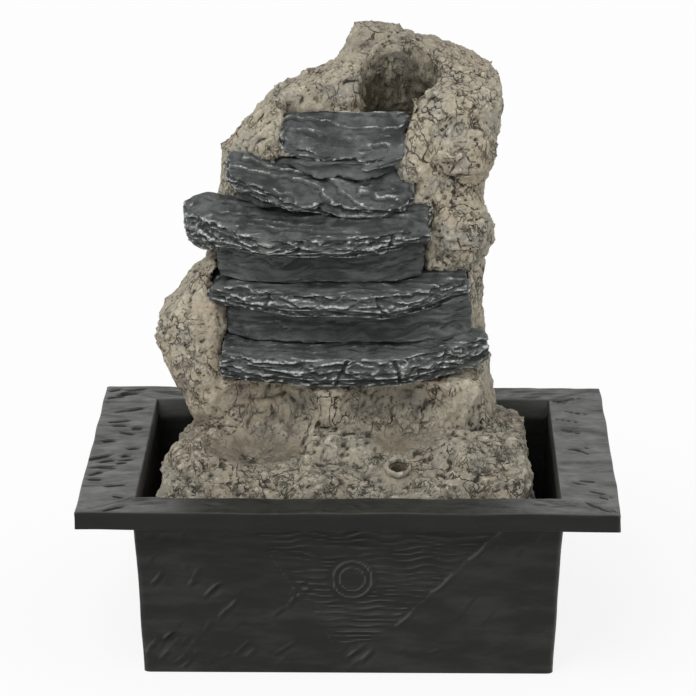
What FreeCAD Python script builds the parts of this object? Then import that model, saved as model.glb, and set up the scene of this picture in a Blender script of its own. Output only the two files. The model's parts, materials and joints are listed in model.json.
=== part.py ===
import FreeCAD
import Part
import math
import os
import re
import Sketcher

# Indoor fountain: a rock cascade with slate steps that stands in a flanged tub, with a pump,
# a water pipe and a lamp.
# Millimetres. +Z is up, -Y is the front and the origin is on the table, under the middle of the tub.

Vector = FreeCAD.Vector
Rotation = FreeCAD.Rotation
Placement = FreeCAD.Placement

doc = FreeCAD.newDocument("IndoorFountain")
sheet = doc.addObject("Spreadsheet::Sheet", "Sizes")

# Driving sizes. A rise is a height above the tub's rim, a left or right is a place in x, and a front or
# back is a place in y from the cascade's line, which runs well_back in front of the well.
SIZES = {
    # tub
    "tub_width": 210,
    "tub_depth": 170,
    "tub_height": 73,
    "tub_wall": 1.8,
    "tub_floor": 2.5,
    "tub_draft_run": 3.6,
    "rim_side": 22.7,
    "rim_end": 19,
    "rim_plate": 2.4,
    "lip_depth": 7.3,
    "lip_wall": 2,
    "tub_corner": 2.5,
    # gaps between the rock's foot and the inside of the tub
    "foot_gap_left": 3.5,
    "foot_gap_right": 9.9,
    "foot_gap_front": 5.5,
    "foot_gap_back": 8,
    "foot_left_taper": 11,
    # well, water pipe and spout
    "well_x": 20,
    "well_back": 28.5,
    "well_radius": 15,
    "well_rise": 118,
    "well_lean": 12,
    "well_sump": 6,
    "pipe_bore": 4.7,
    "pipe_wall": 1.2,
    "pipe_overlap": 9,
    "pipe_stand": 3,
    "spout_radius": 8,
    "spout_height": 5,
    "spout_orifice": 3.6,
    "slip": 0.1,
    # chamber inside the rock
    "rock_wall": 6,
    "chamber_drop": 12,
    "throat_rise": 30,
    "throat_left": -44,
    "throat_right": 42,
    "throat_front": 8,
    "throat_back": 41,
    "throat_half": 13,
    "cable_notch_width": 10,
    "cable_notch_height": 7,
    # notch that opens the well towards the cascade
    "weir_left": -27.5,
    "weir_right": 22,
    "weir_back": 20,
    "weir_rise": 124,
    # lamp in the foot
    "lamp_x": 19.3,
    "lamp_inset": 12.5,
    "lamp_rise": 5,
    "lamp_tilt": 24,
    "lamp_boss_radius": 5.6,
    "lamp_boss_height": 1.3,
    "lamp_hole_radius": 3.9,
    "lamp_recess": 5,
    "lamp_seat_radius": 6,
    "lamp_seat_depth": 19,
    "lamp_radius": 4.6,
    "lamp_length": 9,
    "lamp_wall": 0.8,
    "lamp_lens_height": 1.6,
    "lamp_grommet_length": 6,
    # pump
    "pump_width": 34,
    "pump_back_gap": 2.9,
    "pump_height": 31,
    "pump_corner": 4,
    "cup_height": 5,
    "cup_radius": 6,
    "cup_stem": 2.2,
    "cup_stem_height": 3,
    "cup_inset": 7,
    "impeller_room": 14,
    "cover_radius": 15,
    "cover_wall": 2.2,
    "nozzle_radius": 4.6,
    "nozzle_wall": 1.4,
    "nozzle_height": 14,
    "rotor_radius": 6.8,
    "rotor_gap": 0.8,
    "rotor_length": 15,
    "rotor_tube_wall": 1.2,
    "shaft_radius": 1,
    "bush_radius": 2.4,
    "bush_length": 2.4,
    "impeller_radius": 10.5,
    "impeller_disc": 1.4,
    "blade_height": 5.5,
    "blade_width": 1.2,
    "grille_depth": 9,
    "grille_wall": 1.6,
    "grille_slot": 2.4,
    "dial_radius": 7.5,
    "dial_thickness": 2,
    "dial_pin": 2,
    "dial_fit": 0.05,
    "core_thickness": 10,
    "core_leg": 4,
    "coil_reach": 3.2,
    "pot_margin": 3.5,
    "gland_radius": 3.6,
    "gland_length": 7,
    "cable_radius": 1.9,
    "o_ring_section": 1.2,
}

# The rock's foot, upwards: rise, and insets of its left, right, front and back from the widest outline.
FOOT = [
    (-6, 0, 0, 0, 0),
    (2, 3, 0.5, 6, 18),
    (9, 10, 2, 22, 34),
    (14, 18, 11, 28, 42),
]

# The rock above the foot: rise, left, right, front, back.
COLUMN = [
    (1, -62, 61, -31, 46),
    (16, -60, 59.5, -31.5, 49),
    (33, -63, 57, -34, 51),
    (39, -62, 56, -14, 51),
    (54, -60, 54.5, -12, 51),
    (72, -57.5, 54, -11, 51),
    (94, -54, 53.5, -6, 52),
    (108, -53, 55, -2, 53),
    (117, -54.5, 57.5, 0, 53.5),
    (127, -45.5, 60.5, 0, 54),
    (138.5, -33.5, 61.5, 0, 54.5),
    (145, -20, 60.5, 8, 55),
    (150, -7, 56.5, 20, 55),
    (157, -3, 41, 32, 54),
    (161.5, -1, 26, 36, 53),
    (165.5, 1, 18, 40, 50),
]

# The boulder on the left flank: rise, left, right, front, back.
FLANK = [
    (8, -59, -40, -18, 10),
    (26, -66, -44, -26, 22),
    (42, -75.5, -50, -25, 26),
    (56, -75.5, -50, -20, 24),
    (70, -66, -48, -12, 18),
    (80, -57, -46, -4, 10),
]

# Swells on the rock and hollows in it, each part of a ball: across, back, rise, radius.
SWELLS = [
    (42, 5.8, 88, 15),
    (44, 12.5, 121, 15),
    (-62, -8, 49, 15),
    (-62, -36, 0, 13),
    (58, -36, 0, 13),
    (-10, -48, -4, 11),
    (47, -35, 4, 11),
    (-22, 38.5, 62, 15),
    (30, 38.5, 78, 15),
    (8, 40.5, 131, 16),
    (-22, 34, 129, 15),
]
HOLLOWS = [
    (-36, -44.5, 24, 20),
    (18, -46.5, 29, 20),
]
BALL_SIZES = "across back rise radius".split()

# Slate slabs: left, right, front, back, recess of the left and right ends, thickness, rise, slope, roll.
SLABS = {
    "slab_lowest": (-51, 55, -41, -5, 10, 25, 12.5, 47, 8, 0),
    "slab_fourth": (-56, 47, -36.5, 5, 19, 23, 10, 72, 5, 0),
    "slab_third": (-66, 31.5, -31, 8, 22, 12, 9.5, 93, 16, 0),
    "slab_second": (-49, 27, -16, 13, 13, 12, 8, 103, 34, 3),
    "slab_top": (-27, 23, -6, 17.8, 6, 2, 9, 123.5, 33, 0),
}
SLAB_SIZES = "left right front back recess_left recess_right thickness rise slope roll".split()

# Slate blocks between the slabs: left, right, front, back, rise of the foot, rise of the head.
BLOCKS = {
    "block_lowest": (-49, 48, -20, -8, 47, 68),
    "block_fourth": (-53, 30, -17, 0, 71, 92),
    "block_third": (-46, -14, -5, 5, 98, 108),
    "block_second": (-30, 21, -3, 5, 110, 119),
}
BLOCK_SIZES = "left right front back foot head".split()

# How far each layer of a slab stands back from its front, and the ragged steps along a broken edge.
LAYER_SETBACKS = (1.6, 0, 2.6)
RAGGED_STEPS = (0, 0.9, -0.7, 0.8, -0.4, 1.0, 0)

SECTION_POINTS = 16
FOOT_SQUARENESS = 9
COLUMN_SQUARENESS = 3.6
COLUMN_DENT = 0.05
FOOT_DENT = 0.02


def fill_sheet():
    rows = dict(SIZES)
    for level, numbers in enumerate(FOOT, 1):
        for word, number in zip(("rise", "left", "right", "front", "back"), numbers):
            rows[f"foot_{word}_{level}"] = number
    for name, levels in (("column", COLUMN), ("flank", FLANK)):
        for level, numbers in enumerate(levels, 1):
            for word, number in zip(("rise", "left", "right", "front", "back"), numbers):
                rows[f"{name}_{word}_{level}"] = number
    for name, balls in (("swell", SWELLS), ("hollow", HOLLOWS)):
        for ball, numbers in enumerate(balls, 1):
            for word, number in zip(BALL_SIZES, numbers):
                rows[f"{name}_{word}_{ball}"] = number
    for name, numbers in SLABS.items():
        for word, number in zip(SLAB_SIZES, numbers):
            rows[f"{name}_{word}"] = number
    for name, numbers in BLOCKS.items():
        for word, number in zip(BLOCK_SIZES, numbers):
            rows[f"{name}_{word}"] = number
    for row, (alias, number) in enumerate(rows.items(), 1):
        sheet.set(f"A{row}", alias)
        sheet.set(f"B{row}", str(number))
        sheet.setAlias(f"B{row}", alias)
    doc.recompute()
    return set(rows)


aliases = fill_sheet()

# Places that several pieces share, each written once as a formula over the sheet.
SHARED = {
    "RIM": "tub_height",
    "OPEN_X": "(tub_width / 2 - rim_side)",
    "OPEN_Y": "(tub_depth / 2 - rim_end)",
    "FLOOR_X": "(OPEN_X - tub_draft_run)",
    "FLOOR_Y": "(OPEN_Y - tub_draft_run)",
    "FOOT_LEFT": "(foot_gap_left - OPEN_X)",
    "FOOT_RIGHT": "(OPEN_X - foot_gap_right)",
    "FOOT_FRONT": "(foot_gap_front - OPEN_Y)",
    "FOOT_BACK": "(OPEN_Y - foot_gap_back)",
    "WELL_Y": "(FOOT_BACK - tub_draft_run - rock_wall - pump_back_gap - pump_width / 2)",
    "CASCADE_Y": "(WELL_Y - well_back)",
    "PUMP_BOTTOM": "(tub_floor + cup_height)",
    "PUMP_AXIS": "(PUMP_BOTTOM + pump_height / 2)",
    "PUMP_FRONT": "(well_x - impeller_room / 2)",
    "TUBE_BACK": "(PUMP_FRONT - rotor_length - 2 * bush_length)",
    "YOKE_BACK": "(TUBE_BACK - slip - coil_reach - core_leg)",
    "PUMP_BACK": "(YOKE_BACK - coil_reach - pot_margin)",
    "COVER_FRONT": "(well_x + impeller_room / 2)",
    "GRILLE_FRONT": "(COVER_FRONT + grille_depth)",
    "WELL_FLOOR": "(tub_height + well_rise)",
    "PIPE_RADIUS": "(pipe_bore + pipe_wall)",
    "NOZZLE_TOP": "(PUMP_AXIS + cover_radius + nozzle_height)",
    "LAMP_Y": "(FOOT_FRONT + lamp_inset)",
    "LAMP_Z": "(tub_height + lamp_rise)",
    "ROTOR_BORE": "(rotor_radius + rotor_gap)",
    "ROTOR_DEPTH": "(rotor_length + bush_length)",
}


def formula(words):
    """The expression over the sheet's cells that these words stand for."""
    for name in reversed(SHARED):
        words = re.sub(rf"\b{name}\b", SHARED[name], words)
    return re.sub(r"\b[a-z]\w*\b", lambda m: "Sizes." + m[0] if m[0] in aliases else m[0], words)


def amount(words):
    """The value of such an expression, as a plain number."""
    return float(sheet.evalExpression(formula(words).replace("Sizes.", "")))


def bind(item, **places):
    for name, words in places.items():
        item.setExpression(name.replace("__", "."), formula(words))


def place(item, x="0", y="0", z="0", angle=None, axis=Vector(0, 0, 1)):
    item.Placement = Placement(Vector(), Rotation(axis, amount(angle) if angle else 0))
    bind(item, Placement__Base__x=x, Placement__Base__y=y, Placement__Base__z=z)
    if angle:
        bind(item, Placement__Rotation__Angle=angle)
    return item


def new_body(label):
    made = doc.addObject("PartDesign::Body", label)
    made.Label = label
    return made


def new_sketch(body, role="XY_Plane", height=None):
    made = body.newObject("Sketcher::SketchObject", "Sketch")
    plane = next(f for f in body.Origin.OriginFeatures if f.Role == role)
    made.AttachmentSupport = (plane, [""])
    made.MapMode = "FlatFace"
    if height:
        bind(made, AttachmentOffset__Base__z=height)
    return made


def pin(sketch, geometry, vertex, x, y):
    for kind, words in (("DistanceX", x), ("DistanceY", y)):
        number = sketch.addConstraint(Sketcher.Constraint(kind, -1, 1, geometry, vertex, amount(words)))
        sketch.setExpression(f"Constraints[{number}]", formula(words))


def draw_polygon(sketch, corners):
    """A closed outline of straight edges through corners given as pairs of expressions."""
    points = [Vector(amount(x), amount(y), 0) for x, y in corners]
    first = sketch.GeometryCount
    count = len(points)
    for number in range(count):
        sketch.addGeometry(Part.LineSegment(points[number], points[(number + 1) % count]), False)
    for number in range(count):
        follower = first + (number + 1) % count
        sketch.addConstraint(Sketcher.Constraint("Coincident", first + number, 2, follower, 1))
    for number, (x, y) in enumerate(corners):
        pin(sketch, first + number, 1, x, y)
    return sketch


def draw_box(sketch, left, right, front, back):
    return draw_polygon(sketch, [(left, front), (right, front), (right, back), (left, back)])


def draw_middle_box(sketch, half_x, half_y):
    return draw_box(sketch, f"0 - ({half_x})", half_x, f"0 - ({half_y})", half_y)


def draw_circle(sketch, radius, x="0", y="0"):
    middle = Vector(amount(x), amount(y), 0)
    number = sketch.addGeometry(Part.Circle(middle, Vector(0, 0, 1), amount(radius)), False)
    pin(sketch, number, 3, x, y)
    size = sketch.addConstraint(Sketcher.Constraint("Radius", number, amount(radius)))
    sketch.setExpression(f"Constraints[{size}]", formula(radius))
    return sketch


def pad(body, sketch, length, down=False):
    made = body.newObject("PartDesign::Pad", "Pad")
    made.Profile = sketch
    bind(made, Length=length)
    made.Reversed = down
    doc.recompute()
    return made


def pocket(body, sketch, depth, up=False):
    """Cuts downwards from the sketch, or upwards."""
    made = body.newObject("PartDesign::Pocket", "Pocket")
    made.Profile = sketch
    bind(made, Length=depth)
    made.Reversed = up
    doc.recompute()
    return made


def loft(body, sketches, kind="AdditiveLoft"):
    made = body.newObject(f"PartDesign::{kind}", kind)
    made.Profile = sketches[0]
    made.Sections = sketches[1:]
    made.Ruled = True
    doc.recompute()
    return made


def revolve(body, corners, kind="Revolution"):
    """Turns an outline in r and z about the body's own Z axis."""
    sketch = new_sketch(body, "XZ_Plane")
    draw_polygon(sketch, corners)
    made = body.newObject(f"PartDesign::{kind}", kind)
    made.Profile = sketch
    made.ReferenceAxis = (sketch, ["V_Axis"])
    made.Angle = 360
    doc.recompute()
    return made


def soften(body, radius, chosen, kind="Fillet"):
    """Rounds or bevels the edges of the body's tip that the test picks."""
    tip = body.Tip
    names = [f"Edge{n}" for n, edge in enumerate(tip.Shape.Edges, 1) if chosen(edge)]
    made = body.newObject(f"PartDesign::{kind}", kind)
    made.Base = (tip, names)
    bind(made, **{"Radius" if kind == "Fillet" else "Size": radius})
    doc.recompute()
    return made


def stands_upright(edge):
    low, high = edge.Vertexes[0].Point, edge.Vertexes[-1].Point
    run = high - low
    return run.Length > 0 and abs(run.z) > 0.9 * run.Length


def primitive(kind, label, **sizes):
    made = doc.addObject(f"Part::{kind}", label)
    made.Label = label
    bind(made, **sizes)
    return made


def cylinder(label, radius, height):
    return primitive("Cylinder", label, Radius=radius, Height=height)


def combine(kind, label, base, tool):
    made = doc.addObject(f"Part::{kind}", label)
    made.Label = label
    made.Base = base
    made.Tool = tool
    doc.recompute()
    return made


def fuse_all(label, items):
    made = doc.addObject("Part::MultiFuse", label)
    made.Label = label
    made.Shapes = items
    doc.recompute()
    return made


def make_tub():
    """Drafted tub, its flat rim and the lip that turns down round it."""
    tub = new_body("tub")
    outer_low = draw_middle_box(new_sketch(tub), "FLOOR_X + tub_wall", "FLOOR_Y + tub_wall")
    outer_high = new_sketch(tub, height="RIM - rim_plate")
    draw_middle_box(outer_high, "OPEN_X + tub_wall", "OPEN_Y + tub_wall")
    loft(tub, [outer_low, outer_high])
    soften(tub, "tub_corner", stands_upright)
    plate = draw_middle_box(new_sketch(tub, height="RIM"), "tub_width / 2", "tub_depth / 2")
    pad(tub, plate, "rim_plate", down=True)
    lip = draw_middle_box(new_sketch(tub, height="RIM - rim_plate"), "tub_width / 2", "tub_depth / 2")
    draw_middle_box(lip, "tub_width / 2 - lip_wall", "tub_depth / 2 - lip_wall")
    pad(tub, lip, "lip_depth - rim_plate", down=True)
    inner_low = draw_middle_box(new_sketch(tub, height="tub_floor"), "FLOOR_X", "FLOOR_Y")
    inner_high = draw_middle_box(new_sketch(tub, height="RIM"), "OPEN_X", "OPEN_Y")
    loft(tub, [inner_low, inner_high], "SubtractiveLoft")
    return tub


def slab_outline(name, layer):
    """Corners of one layer: a bowed, broken front edge and a straight back, in the slab's own plane."""
    setback = LAYER_SETBACKS[layer]
    last = len(RAGGED_STEPS) - 1
    corners = []
    for number in range(last + 1):
        share = number / last
        side = "left" if share < 0.5 else "right"
        bow = (2 * share - 1) ** 2
        ragged = RAGGED_STEPS[(number + 2 * layer) % last] if 0 < number < last else 0
        x = f"{name}_left + ({name}_right - {name}_left) * {share:.4f}"
        y = f"{name}_recess_{side} * {bow:.4f} + {setback + ragged:.2f}"
        corners.append((x, y))
    depth = f"{name}_back - {name}_front"
    return corners + [(f"{name}_right", depth), (f"{name}_left", depth)]


def make_slab(name, lower):
    """A slate slab of three split layers, rising from its front to the back and trimmed to the slab below."""
    slab = new_body(name if lower is None else f"{name}_whole")
    layers = len(LAYER_SETBACKS)
    for layer in range(layers):
        sketch = new_sketch(slab, height=f"0 - {name}_thickness * {layer} / {layers}")
        draw_polygon(sketch, slab_outline(name, layer))
        pad(slab, sketch, f"{name}_thickness / {layers}", down=True)
    lean = Vector(amount(f"{name}_slope"), amount(f"{name}_roll"), 0)
    angle = f"sqrt({name}_slope ^ 2 + {name}_roll ^ 2) * 1 deg"
    slab.Placement = Placement(Vector(), Rotation(lean, lean.Length))
    bind(
        slab,
        Placement__Base__y=f"CASCADE_Y + {name}_front",
        Placement__Base__z=f"RIM + {name}_rise",
        Placement__Rotation__Angle=angle,
    )
    doc.recompute()
    return slab if lower is None else combine("Cut", name, slab, lower)


def make_block(name, lower, upper):
    """A slate block between two slabs, trimmed to both."""
    block = new_body(f"{name}_block")
    last = len(RAGGED_STEPS) - 1
    corners = []
    for number, ragged in enumerate(RAGGED_STEPS):
        x = f"{name}_left + ({name}_right - {name}_left) * {number / last:.4f}"
        corners.append((x, f"CASCADE_Y + {name}_front + {1.5 * (2 * number / last - 1) ** 2 + ragged:.2f}"))
    back = f"CASCADE_Y + {name}_back"
    corners += [(f"{name}_right", back), (f"{name}_left", back)]
    sketch = draw_polygon(new_sketch(block, height=f"RIM + {name}_foot"), corners)
    pad(block, sketch, f"{name}_head - {name}_foot")
    trimmed = combine("Cut", f"{name}_over_slab", block, lower)
    return combine("Cut", name, trimmed, upper)


def section(body, height, sides, squareness, dents, level, taper="0"):
    """One rounded outline of the rock, a dented polygon whose left side may draw in to the back."""
    left, right, front, back = sides
    sketch = new_sketch(body, height=height)
    widest = math.cos(math.pi / SECTION_POINTS) ** (2 / squareness)
    corners = []
    for number in range(SECTION_POINTS):
        turn = 2 * math.pi * (number + 0.5) / SECTION_POINTS
        dent = 1 - dents * (0.5 + 0.5 * math.sin(2.3 * number + 1.7 * level))
        along = math.copysign(abs(math.cos(turn)) ** (2 / squareness), math.cos(turn)) / widest * dent
        across = math.copysign(abs(math.sin(turn)) ** (2 / squareness), math.sin(turn)) / widest * dent
        drawn_in = max(0, -along) * (across + 1) / 2
        x = f"({left} + {right}) / 2 + ({right} - ({left})) / 2 * {along:.4f} + {taper} * {drawn_in:.4f}"
        y = f"({front} + {back}) / 2 + ({back} - ({front})) / 2 * {across:.4f}"
        corners.append((x, y))
    return draw_polygon(sketch, corners)


def rock_sections(body, name, levels):
    made = []
    for level in range(1, len(levels) + 1):
        sides = [f"{name}_{word}_{level}" for word in ("left", "right")]
        sides += [f"(CASCADE_Y + {name}_{word}_{level})" for word in ("front", "back")]
        height = f"RIM + {name}_rise_{level}"
        made.append(section(body, height, sides, COLUMN_SQUARENESS, COLUMN_DENT, level))
    return made


def foot_sections(body):
    """The rock's foot follows the tub's draft up to the rim and then draws in."""
    widest = ("FOOT_LEFT", "FOOT_RIGHT", "FOOT_FRONT", "FOOT_BACK")
    signs = ("+", "-", "+", "-")
    sides = [f"({side} {sign} tub_draft_run)" for side, sign in zip(widest, signs)]
    made = [section(body, "tub_floor", sides, FOOT_SQUARENESS, FOOT_DENT, 0, "foot_left_taper")]
    for level in range(1, len(FOOT) + 1):
        insets = [f"foot_{word}_{level}" for word in ("left", "right", "front", "back")]
        sides = [f"({side} {sign} {inset})" for side, sign, inset in zip(widest, signs, insets)]
        height = f"RIM + foot_rise_{level}"
        made.append(section(body, height, sides, FOOT_SQUARENESS, FOOT_DENT, level, "foot_left_taper"))
    return made


def shape_balls(body, name, count, kind):
    """Adds or takes away balls whose places follow the cascade and the tub's rim."""
    for number in range(1, count + 1):
        ball = body.newObject(f"PartDesign::{kind}Sphere", f"{name}_{number}")
        bind(ball, Radius=f"{name}_radius_{number}")
        back = f"CASCADE_Y + {name}_back_{number}"
        place(ball, f"{name}_across_{number}", back, f"RIM + {name}_rise_{number}")
    doc.recompute()


def make_rock_form():
    """Outer form of the rock, hollowed from below by the pump chamber and its throat."""
    rock = new_body("rock_form")
    loft(rock, foot_sections(rock))
    loft(rock, rock_sections(rock, "column", COLUMN))
    loft(rock, rock_sections(rock, "flank", FLANK))
    shape_balls(rock, "swell", len(SWELLS), "Additive")
    shape_balls(rock, "hollow", len(HOLLOWS), "Subtractive")
    chamber_top = "RIM - chamber_drop"
    chamber = []
    for height in ("tub_floor", chamber_top):
        chamber.append(
            draw_box(
                new_sketch(rock, height=height),
                "FOOT_LEFT + tub_draft_run + foot_left_taper + rock_wall",
                "FOOT_RIGHT - tub_draft_run - rock_wall",
                "FOOT_FRONT + tub_draft_run + rock_wall",
                "FOOT_BACK - tub_draft_run - rock_wall",
            )
        )
    loft(rock, chamber, "SubtractiveLoft")
    throat = []
    for height in (chamber_top, "RIM + throat_rise"):
        sketch = new_sketch(rock, height=height)
        front, back = "CASCADE_Y + throat_front", "CASCADE_Y + throat_back"
        throat.append(draw_box(sketch, "throat_left", "throat_right", front, back))
    neck = draw_box(
        new_sketch(rock, height="WELL_FLOOR - rock_wall"),
        "well_x - throat_half",
        "well_x + throat_half",
        "WELL_Y - throat_half",
        "WELL_Y + throat_half",
    )
    loft(rock, [*throat, neck], "SubtractiveLoft")
    return rock


def lamp_place(item, along="0"):
    """Puts a piece on the lamp's axis, which leans to the front, at a distance along it from the boss."""
    lean = "lamp_tilt * 1 deg"
    return place(
        item,
        "lamp_x",
        f"LAMP_Y - ({along}) * sin({lean})",
        f"LAMP_Z + ({along}) * cos({lean})",
        lean,
        Vector(1, 0, 0),
    )


def make_rock(slate):
    """The casting in four stages: form and lamp boss, less the slate's seats, well, weir and bores."""
    boss = cylinder("lamp_boss", "lamp_boss_radius", "lamp_recess + lamp_boss_height")
    lamp_place(boss, "0 - lamp_recess")
    form = combine("Fuse", "rock_with_boss", make_rock_form(), boss)
    well = cylinder("well_space", "well_radius", "tub_height")
    place(well, "well_x", "WELL_Y", "WELL_FLOOR + well_sump", "well_lean * 1 deg", Vector(1, 0, 0))
    sump = cylinder("well_sump", "well_radius", "2 * well_sump")
    place(sump, "well_x", "WELL_Y", "WELL_FLOOR")
    weir = primitive(
        "Box",
        "weir_space",
        Length="weir_right - weir_left",
        Width="CASCADE_Y + weir_back + tub_depth / 2",
        Height="tub_height",
    )
    place(weir, "weir_left", "0 - tub_depth / 2", "RIM + weir_rise")
    bore = cylinder("pipe_way", "PIPE_RADIUS + slip", "3 * rock_wall")
    place(bore, "well_x", "WELL_Y", "WELL_FLOOR - 2 * rock_wall")
    seat = cylinder("lamp_seat", "lamp_seat_radius", "lamp_seat_depth")
    lamp_place(seat, "0 - lamp_recess - lamp_seat_depth")
    hole = cylinder("lamp_hole", "lamp_hole_radius", "3 * lamp_recess")
    lamp_place(hole, "0 - 1.5 * lamp_recess")
    notch = primitive(
        "Box", "cable_notch", Length="cable_notch_width", Width="tub_depth / 2", Height="cable_notch_height"
    )
    place(notch, "0 - cable_notch_width / 2", "FOOT_BACK - tub_draft_run - 2 * rock_wall", "tub_floor")
    spaces = fuse_all("rock_spaces", [*slate, well, sump, weir, bore, seat, hole, notch])
    casting = combine("Cut", "rock_casting", form, spaces)
    stages = []
    levels = [
        ("rock_foot", "tub_floor"),
        ("rock_waist", "RIM - chamber_drop"),
        ("rock_body", "RIM + throat_rise"),
        ("rock_crown", "WELL_FLOOR - 1.5 * rock_wall"),
        ("rock_top", "2 * WELL_FLOOR"),
    ]
    for (label, low), (above, high) in zip(levels, levels[1:]):
        height = f"({high}) - ({low})"
        stage = primitive("Box", f"{label}_stage", Length="tub_width", Width="tub_depth", Height=height)
        place(stage, "0 - tub_width / 2", "0 - tub_depth / 2", low)
        stages.append(combine("Common", label, casting, stage))
    return stages


def make_water_pipe():
    tube = new_body("water_pipe")
    sketch = new_sketch(tube, height="NOZZLE_TOP - pipe_overlap")
    draw_circle(sketch, "PIPE_RADIUS")
    draw_circle(sketch, "pipe_bore")
    pad(tube, sketch, "WELL_FLOOR + pipe_stand - NOZZLE_TOP + pipe_overlap")
    return place(tube, "well_x", "WELL_Y")


def make_spout():
    """Cap over the pipe's end, domed towards the orifice."""
    spout = new_body("spout")
    revolve(
        spout,
        [
            ("PIPE_RADIUS + slip", "0"),
            ("spout_radius", "0"),
            ("spout_radius", "spout_height / 2"),
            ("spout_radius - spout_height / 3", "spout_height"),
            ("spout_orifice", "spout_height"),
            ("spout_orifice", "pipe_stand"),
            ("PIPE_RADIUS + slip", "pipe_stand"),
        ],
    )
    return place(spout, "well_x", "WELL_Y", "WELL_FLOOR")


def make_lamp():
    """Lamp cup, its lens and the grommet that holds both in the seat."""
    cup = new_body("lamp_cup")
    revolve(
        cup,
        [
            ("0", "0"),
            ("lamp_radius / 2", "0"),
            ("lamp_radius / 2", "lamp_length / 4"),
            ("lamp_radius", "lamp_length / 4"),
            ("lamp_radius", "lamp_length"),
            ("lamp_radius - lamp_wall", "lamp_length"),
            ("lamp_radius - lamp_wall", "lamp_length / 2"),
            ("0", "lamp_length / 2"),
        ],
    )
    lamp_place(cup, "0 - lamp_recess - lamp_lens_height - lamp_length")
    lens = new_body("lamp_lens")
    revolve(
        lens,
        [
            ("0", "0 - lamp_length / 4"),
            ("lamp_radius - lamp_wall", "0 - lamp_length / 4"),
            ("lamp_radius - lamp_wall", "0"),
            ("lamp_radius", "0"),
            ("lamp_radius * 0.75", "lamp_lens_height * 0.7"),
            ("lamp_radius * 0.4", "lamp_lens_height"),
            ("0", "lamp_lens_height"),
        ],
    )
    lamp_place(lens, "0 - lamp_recess - lamp_lens_height")
    grommet = new_body("lamp_grommet")
    revolve(
        grommet,
        [
            ("lamp_radius", "0"),
            ("lamp_seat_radius", "0"),
            ("lamp_seat_radius", "lamp_grommet_length"),
            ("lamp_radius", "lamp_grommet_length"),
        ],
    )
    lamp_place(grommet, "0 - lamp_recess - lamp_lens_height - lamp_grommet_length")
    return [cup, lens, grommet]


def along_pump(item, start):
    """Turns a piece's own Z axis along the pump's axis, to the right, and starts it at that place."""
    return place(item, start, "WELL_Y", "PUMP_AXIS", "90 deg", Vector(0, 1, 0))


def make_pump_housing():
    """Motor case: a rounded box with a tube for the rotor and a pocket at the back for the stator."""
    housing = new_body("pump_housing")
    block = draw_box(
        new_sketch(housing, height="PUMP_BOTTOM"),
        "PUMP_BACK",
        "PUMP_FRONT",
        "WELL_Y - pump_width / 2",
        "WELL_Y + pump_width / 2",
    )
    pad(housing, block, "pump_height")
    soften(housing, "pump_corner", stands_upright)
    pocket_floor = draw_box(
        new_sketch(housing, height="PUMP_BOTTOM + pot_margin"),
        "PUMP_BACK",
        "PUMP_FRONT - pot_margin",
        "WELL_Y - pump_width / 2 + pot_margin",
        "WELL_Y + pump_width / 2 - pot_margin",
    )
    pocket(housing, pocket_floor, "pump_height - 2 * pot_margin", up=True)
    tube = cylinder("rotor_tube", "ROTOR_BORE + rotor_tube_wall", "PUMP_FRONT - TUBE_BACK")
    along_pump(tube, "TUBE_BACK")
    joined = combine("Fuse", "pump_case_and_tube", housing, tube)
    bore = cylinder("rotor_bore", "ROTOR_BORE", "ROTOR_DEPTH")
    along_pump(bore, "PUMP_FRONT - ROTOR_DEPTH + bush_length / 2")
    rear_seat = cylinder("rear_bush_seat", "bush_radius", "ROTOR_DEPTH")
    along_pump(rear_seat, "PUMP_FRONT - ROTOR_DEPTH - bush_length / 2")
    holes = [bore, rear_seat]
    for number, (x, y) in enumerate(cup_places(), 1):
        hole = cylinder(f"cup_hole_{number}", "cup_stem", "cup_stem_height")
        holes.append(place(hole, x, y, "PUMP_BOTTOM"))
    return combine("Cut", "pump_case", joined, fuse_all("pump_case_spaces", holes))


def cup_places():
    near_x, far_x = "PUMP_BACK + cup_inset", "PUMP_FRONT - cup_inset"
    near_y, far_y = "WELL_Y - pump_width / 2 + cup_inset", "WELL_Y + pump_width / 2 - cup_inset"
    return [(x, y) for x in (near_x, far_x) for y in (near_y, far_y)]


def make_suction_cups():
    """Four rubber cups under the motor case, each with its stem."""
    cups = []
    for number, (x, y) in enumerate(cup_places(), 1):
        cup = new_body(f"suction_cup_{number}")
        revolve(
            cup,
            [
                ("0", "cup_height / 2"),
                ("cup_radius - 1", "0"),
                ("cup_radius", "0"),
                ("cup_stem + 1", "cup_height * 0.7"),
                ("cup_stem + 1", "cup_height"),
                ("cup_stem", "cup_height"),
                ("cup_stem", "cup_height + cup_stem_height"),
                ("0", "cup_height + cup_stem_height"),
            ],
        )
        cups.append(place(cup, x, y, "tub_floor"))
    group = doc.addObject("Part::Compound", "suction_cups")
    group.Label = "suction_cups"
    group.Links = cups
    doc.recompute()
    return group


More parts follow.
